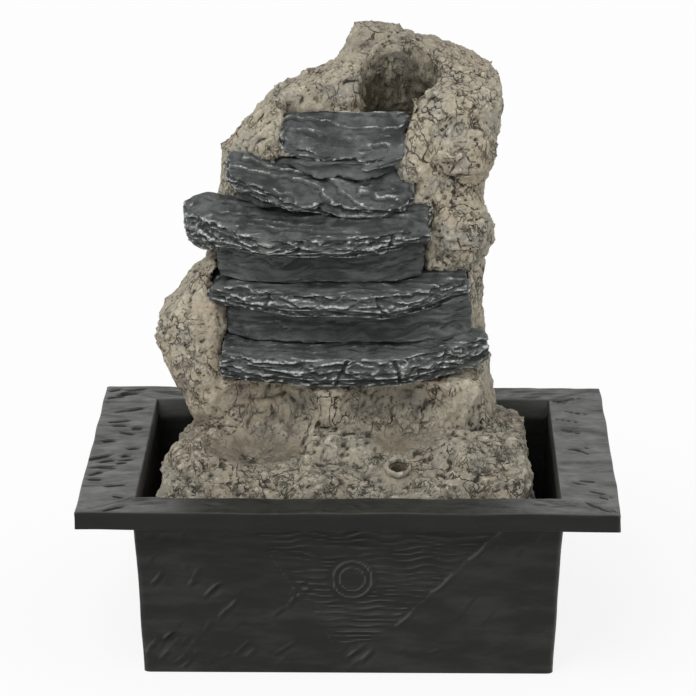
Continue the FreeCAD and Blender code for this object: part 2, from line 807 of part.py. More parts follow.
def make_stator():
    """Laminated core with two legs beside the rotor, the coil on its yoke and the resin that pots both."""
    core = new_body("stator_core")
    yoke_left = "YOKE_BACK"
    inner = "ROTOR_BORE + rotor_tube_wall + slip"
    outer = f"{inner} + core_leg"
    legs_right = "PUMP_FRONT - pot_margin - core_leg"
    sketch = new_sketch(core, height="PUMP_AXIS - core_thickness / 2")
    draw_polygon(
        sketch,
        [
            (yoke_left, f"WELL_Y - ({outer})"),
            (legs_right, f"WELL_Y - ({outer})"),
            (legs_right, f"WELL_Y - ({inner})"),
            (f"{yoke_left} + core_leg", f"WELL_Y - ({inner})"),
            (f"{yoke_left} + core_leg", f"WELL_Y + ({inner})"),
            (legs_right, f"WELL_Y + ({inner})"),
            (legs_right, f"WELL_Y + ({outer})"),
            (yoke_left, f"WELL_Y + ({outer})"),
        ],
    )
    pad(core, sketch, "core_thickness")
    winding = new_body("winding")
    block = draw_box(
        new_sketch(winding, height="PUMP_AXIS - core_thickness / 2 - coil_reach"),
        f"{yoke_left} - coil_reach",
        f"{yoke_left} + core_leg + coil_reach",
        f"WELL_Y - ({inner}) + slip",
        f"WELL_Y + ({inner}) - slip",
    )
    pad(winding, block, "core_thickness + 2 * coil_reach")
    soften(winding, "coil_reach / 2", lambda edge: abs(edge.tangentAt(edge.FirstParameter).y) > 0.9)
    coil = combine("Cut", "stator_coil", winding, core)
    return core, coil


def make_potting(case, core, coil):
    """Resin in the stator pocket, flush with the back of the case."""
    block = primitive(
        "Box",
        "potting_block",
        Length="PUMP_FRONT - PUMP_BACK - pot_margin",
        Width="pump_width - 2 * pot_margin",
        Height="pump_height - 2 * pot_margin",
    )
    place(block, "PUMP_BACK", "WELL_Y - pump_width / 2 + pot_margin", "PUMP_BOTTOM + pot_margin")
    tube = cylinder("rotor_tube_outside", "ROTOR_BORE + rotor_tube_wall", "PUMP_FRONT - TUBE_BACK")
    along_pump(tube, "TUBE_BACK")
    inside = fuse_all("potted_pieces", [core, coil, tube])
    return combine("Cut", "potting", block, inside)


def make_impeller_cover():
    """Round cover over the impeller, with intake holes in front and the outlet nozzle on top."""
    cover = new_body("cover_drum")
    revolve(
        cover,
        [
            ("0", "impeller_room - cover_wall"),
            ("cover_radius - cover_wall", "impeller_room - cover_wall"),
            ("cover_radius - cover_wall", "o_ring_section"),
            ("cover_radius - cover_wall / 3", "o_ring_section"),
            ("cover_radius - cover_wall / 3", "0"),
            ("cover_radius", "0"),
            ("cover_radius", "impeller_room"),
            ("0", "impeller_room"),
        ],
    )
    plate = new_sketch(cover, height="impeller_room - cover_wall")
    pad(cover, draw_middle_box(plate, "pump_height / 2", "pump_width / 2"), "cover_wall")
    boss = draw_circle(new_sketch(cover, height="impeller_room - cover_wall"), "bush_radius + 1")
    pad(cover, boss, "bush_length", down=True)
    seat = draw_circle(new_sketch(cover, height="impeller_room - cover_wall - bush_length"), "bush_radius")
    pocket(cover, seat, "bush_length", up=True)
    eye = new_sketch(cover, height="impeller_room - cover_wall - bush_length")
    draw_circle(eye, "cover_wall", "cover_radius / 2 - 0.5")
    hole = pocket(cover, eye, "cover_wall + 2 * bush_length", up=True)
    ring = cover.newObject("PartDesign::PolarPattern", "IntakeHoles")
    ring.Originals = [hole]
    axis = next(f for f in cover.Origin.OriginFeatures if f.Role == "Z_Axis")
    ring.Axis = (axis, [""])
    ring.Angle = 360
    ring.Occurrences = 6
    cover.Tip = ring
    along_pump(cover, "PUMP_FRONT")
    doc.recompute()
    nozzle = cylinder("nozzle", "nozzle_radius", "cover_radius + nozzle_height")
    place(nozzle, "well_x", "WELL_Y", "PUMP_AXIS")
    space = cylinder("impeller_space", "cover_radius - cover_wall", "impeller_room - cover_wall")
    along_pump(space, "PUMP_FRONT")
    stub = combine("Cut", "nozzle_on_drum", nozzle, space)
    joined = combine("Fuse", "cover_and_nozzle", cover, stub)
    way = cylinder("nozzle_way", "nozzle_radius - nozzle_wall", "cover_radius / 2 + nozzle_height + 1")
    place(way, "well_x", "WELL_Y", "PUMP_AXIS + cover_radius / 2")
    return combine("Cut", "impeller_cover", joined, way)


def make_o_ring():
    ring = new_body("cover_o_ring")
    sketch = new_sketch(ring)
    draw_circle(sketch, "cover_radius - cover_wall / 3")
    draw_circle(sketch, "cover_radius - cover_wall")
    pad(ring, sketch, "o_ring_section")
    return along_pump(ring, "PUMP_FRONT")


def make_rotor():
    """Magnet on its sleeve and the impeller with straight blades, both on the fixed shaft."""
    magnet = new_body("rotor_magnet")
    sketch = new_sketch(magnet)
    draw_circle(sketch, "rotor_radius")
    draw_circle(sketch, "shaft_radius + dial_fit")
    pad(magnet, sketch, "rotor_length")
    along_pump(magnet, "PUMP_FRONT - rotor_length + bush_length / 2")
    impeller = new_body("impeller")
    disc = new_sketch(impeller)
    draw_circle(disc, "impeller_radius")
    draw_circle(disc, "shaft_radius + dial_fit")
    pad(impeller, disc, "impeller_disc")
    hub = new_sketch(impeller, height="impeller_disc")
    draw_circle(hub, "bush_radius")
    draw_circle(hub, "shaft_radius + dial_fit")
    pad(impeller, hub, "blade_height")
    blade = draw_box(
        new_sketch(impeller, height="impeller_disc"),
        "bush_radius - 0.5",
        "impeller_radius - 0.5",
        "0 - blade_width / 2",
        "blade_width / 2",
    )
    first = pad(impeller, blade, "blade_height")
    wheel = impeller.newObject("PartDesign::PolarPattern", "Blades")
    wheel.Originals = [first]
    axis = next(f for f in impeller.Origin.OriginFeatures if f.Role == "Z_Axis")
    wheel.Axis = (axis, [""])
    wheel.Angle = 360
    wheel.Occurrences = 6
    impeller.Tip = wheel
    along_pump(impeller, "PUMP_FRONT + bush_length / 2")
    doc.recompute()
    return [magnet, impeller]


def make_shaft():
    """Fixed ceramic shaft and the rubber bushes that hold its ends."""
    shaft = new_body("rotor_shaft")
    reach = "ROTOR_DEPTH + bush_length / 2 + impeller_room - cover_wall"
    pad(shaft, draw_circle(new_sketch(shaft), "shaft_radius"), reach)
    along_pump(shaft, "PUMP_FRONT - ROTOR_DEPTH - bush_length / 2")
    bushes = []
    starts = ("PUMP_FRONT - ROTOR_DEPTH - bush_length / 2", "COVER_FRONT - cover_wall - bush_length")
    for number, (start, long) in enumerate(zip(starts, ("bush_length * 0.9", "bush_length")), 1):
        bush = new_body(f"shaft_bush_{number}")
        sketch = new_sketch(bush)
        draw_circle(sketch, "bush_radius")
        draw_circle(sketch, "shaft_radius")
        pad(bush, sketch, long)
        bushes.append(along_pump(bush, start))
    pair = doc.addObject("Part::Compound", "shaft_bushes")
    pair.Label = "shaft_bushes"
    pair.Links = bushes
    doc.recompute()
    return [shaft, pair]


def make_grille():
    """Slotted intake cover that snaps over the front of the pump, with the pin that the dial turns on."""
    grille = new_body("intake_grille")
    pad(grille, draw_middle_box(new_sketch(grille), "pump_height / 2", "pump_width / 2"), "grille_depth")
    soften(grille, "pump_corner", stands_upright)
    hollow = new_sketch(grille)
    draw_middle_box(hollow, "pump_height / 2 - grille_wall", "pump_width / 2 - grille_wall")
    pocket(grille, hollow, "grille_depth - grille_wall", up=True)
    pin_end = "grille_depth + dial_thickness + 2 * slip"
    stub = draw_circle(new_sketch(grille, height="grille_depth"), "dial_pin")
    pad(grille, stub, "dial_thickness + 2 * slip")
    pad(grille, draw_circle(new_sketch(grille, height=pin_end), "dial_pin + 0.5"), "dial_pin * 0.4")
    slot = draw_box(
        new_sketch(grille, height="grille_depth - grille_wall"),
        "0 - pump_height / 3",
        "pump_height / 3",
        "0 - pump_width / 2 + grille_wall * 2",
        "0 - pump_width / 2 + grille_wall * 2 + grille_slot",
    )
    first = pocket(grille, slot, "2 * grille_wall", up=True)
    row = grille.newObject("PartDesign::LinearPattern", "Slots")
    row.Originals = [first]
    axis = next(f for f in grille.Origin.OriginFeatures if f.Role == "Y_Axis")
    row.Direction = (axis, [""])
    bind(row, Length="pump_width - 4 * grille_wall - grille_slot")
    row.Occurrences = 6
    grille.Tip = row
    doc.recompute()
    return along_pump(grille, "COVER_FRONT")


def make_dial():
    """Flow dial: a disc with two ports and a finger rib, turning on the grille's pin."""
    dial = new_body("flow_dial")
    sketch = new_sketch(dial)
    draw_circle(sketch, "dial_radius")
    draw_circle(sketch, "dial_pin + dial_fit")
    pad(dial, sketch, "dial_thickness")
    port = draw_circle(new_sketch(dial), "dial_pin * 0.7", "dial_radius * 0.62")
    hole = pocket(dial, port, "dial_thickness", up=True)
    pair = dial.newObject("PartDesign::PolarPattern", "Ports")
    pair.Originals = [hole]
    axis = next(f for f in dial.Origin.OriginFeatures if f.Role == "Z_Axis")
    pair.Axis = (axis, [""])
    pair.Angle = 360
    pair.Occurrences = 2
    dial.Tip = pair
    doc.recompute()
    rib = draw_box(
        new_sketch(dial, height="dial_thickness"), "0 - 0.7", "0.7", "dial_pin + 1", "dial_radius - 0.5"
    )
    pad(dial, rib, "dial_thickness")
    return along_pump(dial, "GRILLE_FRONT + slip")


def make_gland():
    """Moulded gland where the supply cable enters the potted back of the pump."""
    gland = new_body("cable_gland")
    revolve(
        gland,
        [
            ("0", "0"),
            ("gland_radius", "0"),
            ("gland_radius", "gland_length * 0.3"),
            ("gland_radius * 0.75", "gland_length"),
            ("cable_radius", "gland_length"),
            ("cable_radius", "gland_length * 0.2"),
            ("0", "gland_length * 0.2"),
        ],
    )
    return place(gland, "PUMP_BACK", "WELL_Y", "PUMP_AXIS + pump_height / 6", "90 deg", Vector(0, -1, 0))


def build():
    """Every sub-part, each with the label that names its file."""
    slabs = []
    for name in SLABS:
        slabs.append(make_slab(name, slabs[-1] if slabs else None))
    blocks = [make_block(name, slabs[n], slabs[n + 1]) for n, name in enumerate(BLOCKS)]
    slate = [*slabs, *blocks]
    parts = [make_tub(), *make_rock(slate), *slate, make_water_pipe(), make_spout(), *make_lamp()]
    case = make_pump_housing()
    core, coil = make_stator()
    parts += [case, core, coil, make_potting(case, core, coil), make_impeller_cover(), make_o_ring()]
    parts += [*make_rotor(), *make_shaft(), make_grille(), make_dial(), make_suction_cups(), make_gland()]
    return parts


def check_and_write(parts):
    doc.recompute()
    for item in doc.Objects:
        if "Invalid" in item.State or "Error" in item.State:
            raise RuntimeError(f"{item.Label} failed: {item.State}")
    os.makedirs("parts", exist_ok=True)
    for item in parts:
        if item.Shape.isNull() or not item.Shape.isValid():
            raise RuntimeError(f"{item.Label} has no valid shape")
    for item in parts:
        item.Shape.exportStep(f"parts/{item.Label}.step")
        print(f"{item.Label:18s} solids {len(item.Shape.Solids)} volume {item.Shape.Volume:10.1f}")


check_and_write(build())
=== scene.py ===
import json
import math
import random

import bmesh
import bpy
import numpy as np
from mathutils import Matrix, Vector, noise


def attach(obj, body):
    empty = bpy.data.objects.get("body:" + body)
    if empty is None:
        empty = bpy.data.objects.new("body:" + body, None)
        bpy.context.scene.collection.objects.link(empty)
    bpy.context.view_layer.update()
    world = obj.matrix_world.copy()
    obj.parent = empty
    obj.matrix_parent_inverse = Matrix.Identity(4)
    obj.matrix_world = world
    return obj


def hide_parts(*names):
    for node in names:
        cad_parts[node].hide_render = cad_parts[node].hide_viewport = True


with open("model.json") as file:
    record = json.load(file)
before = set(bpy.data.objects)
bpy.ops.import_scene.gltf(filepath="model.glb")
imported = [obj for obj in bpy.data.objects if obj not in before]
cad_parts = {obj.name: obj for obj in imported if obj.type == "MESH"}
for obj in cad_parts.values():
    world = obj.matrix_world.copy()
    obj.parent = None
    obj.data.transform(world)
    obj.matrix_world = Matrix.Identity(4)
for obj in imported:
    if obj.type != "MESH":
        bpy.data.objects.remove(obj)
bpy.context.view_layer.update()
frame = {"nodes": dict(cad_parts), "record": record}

scene = bpy.context.scene
scene.view_settings.view_transform = "Standard"
mm = 0.001


# camera, floor and light

viewSetup = {
    "target": (-1.05, 0.0, 114.59),  # millimetres
    "distance": 1570.0,
    "pitch": 16.04,  # degrees, looking down
    "yaw": 0.82,
    "lens": 202.3,
    "sensor": 36.0,
}


def placeCamera(setup):
    pitch = math.radians(setup["pitch"])
    yaw = math.radians(setup["yaw"])
    back = Vector((math.sin(yaw) * math.cos(pitch), -math.cos(yaw) * math.cos(pitch), math.sin(pitch)))
    data = bpy.data.cameras.new("photoCamera")
    data.lens = setup["lens"]
    data.sensor_width = setup["sensor"]
    data.clip_end = 50.0
    camera = bpy.data.objects.new("photoCamera", data)
    scene.collection.objects.link(camera)
    camera.location = Vector(setup["target"]) * mm + back * setup["distance"] * mm
    camera.rotation_euler = back.to_track_quat("Z", "Y").to_euler()
    scene.camera = camera


lightSetup = {
    "worldStrength": 0.55,
    "keyStrength": 1.7,
    "keyAngle": 50.0,  # degrees across, a large soft source
    "keyFrom": (-0.55, -0.85, 1.15),
    "fillStrength": 0.5,
    "fillAngle": 80.0,
    "fillFrom": (0.9, -0.8, 0.6),
    "floorSize": 12.0,
    "floorColour": (0.86, 0.86, 0.85, 1.0),
    "floorShare": 0.86,  # how much of the floor is plain white to the camera
}


def addNode(tree, kind, inputs=None, **settings):
    node = tree.nodes.new(kind)
    for key, value in settings.items():
        setattr(node, key, value)
    for key, value in (inputs or {}).items():
        if isinstance(value, bpy.types.NodeSocket):
            tree.links.new(value, node.inputs[key])
        else:
            node.inputs[key].default_value = value
    return node


def mathOf(tree, operation, first, second):
    return addNode(tree, "ShaderNodeMath", {0: first, 1: second}, operation=operation).outputs[0]


def timesOf(tree, first, second):
    return mathOf(tree, "MULTIPLY", first, second)


def vectorOf(tree, operation, inputs):
    return addNode(tree, "ShaderNodeVectorMath", inputs, operation=operation).outputs[0]


def mappedOf(tree, place, setting, value):
    return addNode(tree, "ShaderNodeMapping", {"Vector": place, setting: value}).outputs[0]


def mixOf(tree, share, first, second):
    return addNode(tree, "ShaderNodeMix", {0: share, 6: first, 7: second}, data_type="RGBA").outputs[2]


def rampOf(tree, value, low, high, start=0.0, end=1.0):
    inputs = {"Value": value, "From Min": low, "From Max": high, "To Min": start, "To Max": end}
    return addNode(tree, "ShaderNodeMapRange", inputs, interpolation_type="SMOOTHSTEP").outputs["Result"]


def noiseOf(tree, place, scale, detail, roughness=0.55, distortion=0.0):
    inputs = {"Vector": place, "Scale": scale, "Detail": detail}
    inputs.update({"Roughness": roughness, "Distortion": distortion})
    return addNode(tree, "ShaderNodeTexNoise", inputs).outputs[0]


def valueOf(tree, name):
    return addNode(tree, "ShaderNodeAttribute", attribute_name=name).outputs["Fac"]


def startPaint(name, settings):
    material = bpy.data.materials.new(name)
    material.use_nodes = True
    tree = material.node_tree
    for key, value in settings.items():
        tree.nodes["Principled BSDF"].inputs[key].default_value = value
    return material, tree, addNode(tree, "ShaderNodeTexCoord").outputs["Object"]


def endPaint(tree, colour, rough, height, strength, reach):
    inputs = {"Strength": strength, "Distance": reach * mm, "Height": height}
    bump = addNode(tree, "ShaderNodeBump", inputs).outputs[0]
    surface = tree.nodes["Principled BSDF"].inputs
    for key, socket in (("Base Color", colour), ("Roughness", rough), ("Normal", bump)):
        tree.links.new(socket, surface[key])


def seenPlainly(tree):
    path = addNode(tree, "ShaderNodeLightPath").outputs
    either = mathOf(tree, "MAXIMUM", path["Is Camera Ray"], path["Is Glossy Ray"])
    return mathOf(tree, "MAXIMUM", either, path["Is Transmission Ray"])


def lightStage(setup):
    world = bpy.data.worlds.new("studio")
    scene.world = world
    world.use_nodes = True
    tree = world.node_tree
    tree.nodes.clear()
    soft = addNode(tree, "ShaderNodeBackground", {"Strength": setup["worldStrength"]})
    plain = addNode(tree, "ShaderNodeBackground", {"Strength": 1.0})
    for node in (soft, plain):
        node.inputs["Color"].default_value = (1.0, 1.0, 1.0, 1.0)
    inputs = {0: seenPlainly(tree), 1: soft.outputs[0], 2: plain.outputs[0]}
    mixed = addNode(tree, "ShaderNodeMixShader", inputs)
    addNode(tree, "ShaderNodeOutputWorld", {"Surface": mixed.outputs[0]})
    for word in ("key", "fill"):
        data = bpy.data.lights.new(word + "Light", "SUN")
        data.energy = setup[word + "Strength"]
        data.angle = math.radians(setup[word + "Angle"])
        lamp = bpy.data.objects.new(word + "Light", data)
        scene.collection.objects.link(lamp)
        lamp.rotation_euler = Vector(setup[word + "From"]).to_track_quat("Z", "Y").to_euler()
    bm = bmesh.new()
    bmesh.ops.create_grid(bm, x_segments=4, y_segments=4, size=setup["floorSize"] / 2)
    mesh = bpy.data.meshes.new("paleFloor")
    bm.to_mesh(mesh)
    bm.free()
    floor = bpy.data.objects.new("paleFloor", mesh)
    scene.collection.objects.link(floor)
    material = bpy.data.materials.new("paleFloor")
    material.use_nodes = True
    tree = material.node_tree
    tree.nodes.clear()
    matt = addNode(tree, "ShaderNodeBsdfDiffuse", {"Color": setup["floorColour"]})
    white = addNode(tree, "ShaderNodeEmission", {"Strength": 1.0})
    share = timesOf(tree, seenPlainly(tree), setup["floorShare"])
    mixed = addNode(tree, "ShaderNodeMixShader", {0: share, 1: matt.outputs[0], 2: white.outputs[0]})
    addNode(tree, "ShaderNodeOutputMaterial", {"Surface": mixed.outputs[0]})
    mesh.materials.append(material)


placeCamera(viewSetup)
lightStage(lightSetup)
print("stage: camera, floor and light")


# shared steps for the stone pieces; lengths inside them are millimetres

def mergedCopy(nodes):
    bm = bmesh.new()
    for node in nodes:
        bm.from_mesh(frame["nodes"][node].data)
    bmesh.ops.remove_doubles(bm, verts=bm.verts, dist=0.02 * mm)
    return bm


def linkPiece(name, bm):
    mesh = bpy.data.meshes.new(name)
    bm.to_mesh(mesh)
    bm.free()
    piece = bpy.data.objects.new(name, mesh)
    scene.collection.objects.link(piece)
    return piece


def voxelStone(name, nodes, voxel):
    piece = linkPiece(name, mergedCopy(nodes))
    grid = piece.modifiers.new("voxels", "REMESH")
    grid.mode = "VOXEL"
    grid.voxel_size = voxel * mm
    rough = piece.data
    solid = piece.evaluated_get(bpy.context.evaluated_depsgraph_get())
    stoneMesh = bpy.data.meshes.new_from_object(solid)
    piece.modifiers.clear()
    piece.data = stoneMesh
    bpy.data.meshes.remove(rough)
    piece.data.name = name
    return piece


def readStone(piece):
    mesh = piece.data
    points = np.empty(len(mesh.vertices) * 3)
    outward = np.empty(len(mesh.vertices) * 3)
    edges = np.empty(len(mesh.edges) * 2, dtype=np.int64)
    mesh.vertices.foreach_get("co", points)
    mesh.vertices.foreach_get("normal", outward)
    mesh.edges.foreach_get("vertices", edges)
    return points.reshape(-1, 3) / mm, outward.reshape(-1, 3), edges.reshape(-1, 2)


def writeStone(piece, points):
    piece.data.vertices.foreach_set("co", (points * mm).ravel())
    piece.data.update()


def storeValue(piece, name, values):
    layer = piece.data.attributes.new(name, "FLOAT", "POINT")
    layer.data.foreach_set("value", values.astype(np.float32))


def dress(piece, material, body, slot, *nodes):
    piece.data.materials.clear()
    piece.data.materials.append(material)
    piece.data.polygons.foreach_set("use_smooth", [True] * len(piece.data.polygons))
    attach(piece, body)
    if nodes:
        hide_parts(*nodes)


def ramp(values, low, high):
    share = np.clip((values - low) / (high - low), 0.0, 1.0)
    return share * share * (3.0 - 2.0 * share)


def noiseAt(points, size, seed):
    spots = points / size + np.array((17.3, 5.7, 11.1)) * seed
    return np.fromiter((noise.noise(spot) for spot in spots.tolist()), float, len(spots))


def platesAt(points, size, seed):
    spots = points / size + np.array((7.9, 13.3, 3.1)) * seed
    gaps = np.empty(len(spots))
    heights = np.empty(len(spots))
    for number, spot in enumerate(spots.tolist()):
        far, middles = noise.voronoi(spot)
        gaps[number] = far[1] - far[0]
        heights[number] = noise.cell(middles[0] * 9.7)
    return gaps, heights


def evened(values, edges, rounds):
    count = len(values)
    ends = np.concatenate((edges[:, 0], edges[:, 1]))
    others = np.concatenate((edges[:, 1], edges[:, 0]))
    share = np.maximum(np.bincount(ends, minlength=count), 1)[:, None]
    for step in range(rounds):
        columns = [np.bincount(ends, values[others, k], count) for k in range(values.shape[1])]
        values = 0.5 * values + 0.5 * np.stack(columns, 1) / share
    return values


def depthBelow(points, outward, edges, rounds):
    return np.einsum("ij,ij->i", evened(points, edges, rounds) - points, outward)


# rock: the cast body with its crown, well and foot

rockFinish = {
    "beige": (0.495, 0.447, 0.342, 1.0),
    "ochre": (0.455, 0.382, 0.280, 1.0),
    "grey": (0.350, 0.330, 0.280, 1.0),
    "pale": (0.640, 0.595, 0.485, 1.0),
    "darkToneAndShade": (0.190, 0.175, 0.143, 1.0),  # darker towards the foot, in dark grain flecks, and painted shade in broad hollows
    "wash": (0.026, 0.023, 0.018, 1.0),  # dark paint that stays in the cracks
    "troughShade": (0.180, 0.157, 0.115, 1.0),  # painted shade, smooth and brownish, in the troughs of the two alcoves and in the lamp's bore
    "stain": (0.130, 0.111, 0.077, 1.0),  # water stain in the well
    "footFrom": (0.128, 0.094),  # metres above the floor, where the darkening towards the foot begins and where it is full
    "coarse": (105.0, 0.05, 3.1),  # cracks: scale, width, seed
    "fine": (230.0, 0.08, 7.7),
    "crazed": (240.0, 0.085, 5.3),  # only towards the foot
    "roughness": (0.80, 0.94),
    "bump": (1.0, 1.4),  # strength, millimetres
}


def crackLines(tree, place, scale, width, seed):
    moved = mappedOf(tree, place, "Location", (seed, 0.7 * seed, 0.3 * seed))
    bends = {"Vector": moved, "Scale": scale * 1.4, "Detail": 3.0}
    bent = addNode(tree, "ShaderNodeTexNoise", bends).outputs["Color"]
    shift = vectorOf(tree, "SUBTRACT", {0: bent, 1: (0.5, 0.5, 0.5)})
    shift = vectorOf(tree, "SCALE", {0: shift, "Scale": 1.6 / scale})
    warped = vectorOf(tree, "ADD", {0: moved, 1: shift})
    inputs = {"Vector": warped, "Scale": scale}
    cells = addNode(tree, "ShaderNodeTexVoronoi", inputs, feature="DISTANCE_TO_EDGE")
    return rampOf(tree, cells.outputs["Distance"], width, width * 0.25)


def rockPaint(finish):
    material, tree, place = startPaint("castRock", {"Specular IOR Level": 0.2})
    upright = mappedOf(tree, place, "Scale", (1.0, 1.0, 0.62))
    blotches = rampOf(tree, noiseOf(tree, place, 30.0, 4.0), 0.42, 0.66)
    colour = mixOf(tree, blotches, finish["beige"], finish["ochre"])
    greyed = rampOf(tree, noiseOf(tree, place, 85.0, 5.0, 0.65), 0.45, 0.68)
    colour = mixOf(tree, greyed, colour, finish["grey"])
    height = addNode(tree, "ShaderNodeSeparateXYZ", {0: place}).outputs["Z"]
    low = mathOf(tree, "ADD", height, timesOf(tree, noiseOf(tree, place, 26.0, 3.0), 0.04))
    colour = mixOf(tree, rampOf(tree, low, *finish["footFrom"], 0.0, 0.45), colour, finish["darkToneAndShade"])
    proud = rampOf(tree, valueOf(tree, "sunken"), -0.06, -0.38)
    speckle = rampOf(tree, noiseOf(tree, place, 330.0, 5.0, 0.7), 0.4, 0.66)
    colour = mixOf(tree, timesOf(tree, proud, timesOf(tree, speckle, 0.75)), colour, finish["pale"])
    grain = noiseOf(tree, place, 620.0, 5.0, 0.75)
    colour = mixOf(tree, rampOf(tree, grain, 0.56, 0.34, 0.0, 0.5), colour, finish["darkToneAndShade"])
    cells = addNode(tree, "ShaderNodeTexVoronoi", {"Vector": place, "Scale": 520.0}).outputs["Distance"]
    pitted = rampOf(tree, noiseOf(tree, place, 110.0, 4.0, 0.6), 0.48, 0.62, 0.0, 0.75)
    pits = timesOf(tree, rampOf(tree, cells, 0.3, 0.16), pitted)
    colour = mixOf(tree, pits, colour, finish["wash"])
    # painted shade, with some dirt, in broad hollows: darker where the surface sinks below its wide
    # surroundings
    deep = rampOf(tree, valueOf(tree, "broadHollowShade"), 0.25, 1.8, 0.0, 0.7)
    colour = mixOf(tree, deep, colour, finish["darkToneAndShade"])
    # painted shade: a smooth brownish colour with fewer cracks in the alcove troughs and inside the
    # lamp's bore
    shadedTrough = valueOf(tree, "shadedTrough")
    cloudy = rampOf(tree, noiseOf(tree, place, 190.0, 5.0, 0.7), 0.3, 0.6, 0.45, 0.95)
    colour = mixOf(tree, timesOf(tree, shadedTrough, cloudy), colour, finish["troughShade"])
    bare = mathOf(tree, "SUBTRACT", 1.0, timesOf(tree, shadedTrough, 0.7))
    patch = rampOf(tree, noiseOf(tree, place, 60.0, 4.0), 0.44, 0.57)  # where the cracks run
    other = rampOf(tree, noiseOf(tree, place, 90.0, 4.0, 0.6, 0.5), 0.46, 0.58)
    footPatch = rampOf(tree, noiseOf(tree, place, 70.0, 4.0), 0.45, 0.58)
    footed = timesOf(tree, rampOf(tree, low, *finish["footFrom"]), footPatch)
    coarse = timesOf(tree, crackLines(tree, upright, *finish["coarse"]), patch)
    fine = timesOf(tree, crackLines(tree, upright, *finish["fine"]), other)
    crazed = timesOf(tree, crackLines(tree, upright, *finish["crazed"]), footed)
    lines = mathOf(tree, "MAXIMUM", mathOf(tree, "MAXIMUM", coarse, crazed), timesOf(tree, fine, 0.75))
    lines = timesOf(tree, lines, bare)
    sunken = timesOf(tree, rampOf(tree, valueOf(tree, "sunken"), 0.12, 0.5, 0.0, 0.9), bare)
    dark = mathOf(tree, "MAXIMUM", sunken, timesOf(tree, lines, 0.95))
    broken = rampOf(tree, noiseOf(tree, place, 300.0, 4.0, 0.65), 0.32, 0.58, 0.35, 1.0)
    colour = mixOf(tree, timesOf(tree, dark, broken), colour, finish["wash"])
    running = mappedOf(tree, place, "Scale", (1.0, 1.0, 0.22))
    streaks = rampOf(tree, noiseOf(tree, running, 230.0, 5.0, 0.65), 0.3, 0.62, 0.3, 1.0)
    colour = mixOf(tree, timesOf(tree, valueOf(tree, "stain"), streaks), colour, finish["stain"])
    rough = rampOf(tree, grain, 0.2, 0.8, *finish["roughness"])
    relief = mathOf(tree, "ADD", noiseOf(tree, place, 260.0, 8.0, 0.74), timesOf(tree, lines, -0.5))
    relief = mathOf(tree, "SUBTRACT", relief, timesOf(tree, pits, 0.3))
    endPaint(tree, colour, rough, relief, *finish["bump"])
    return material


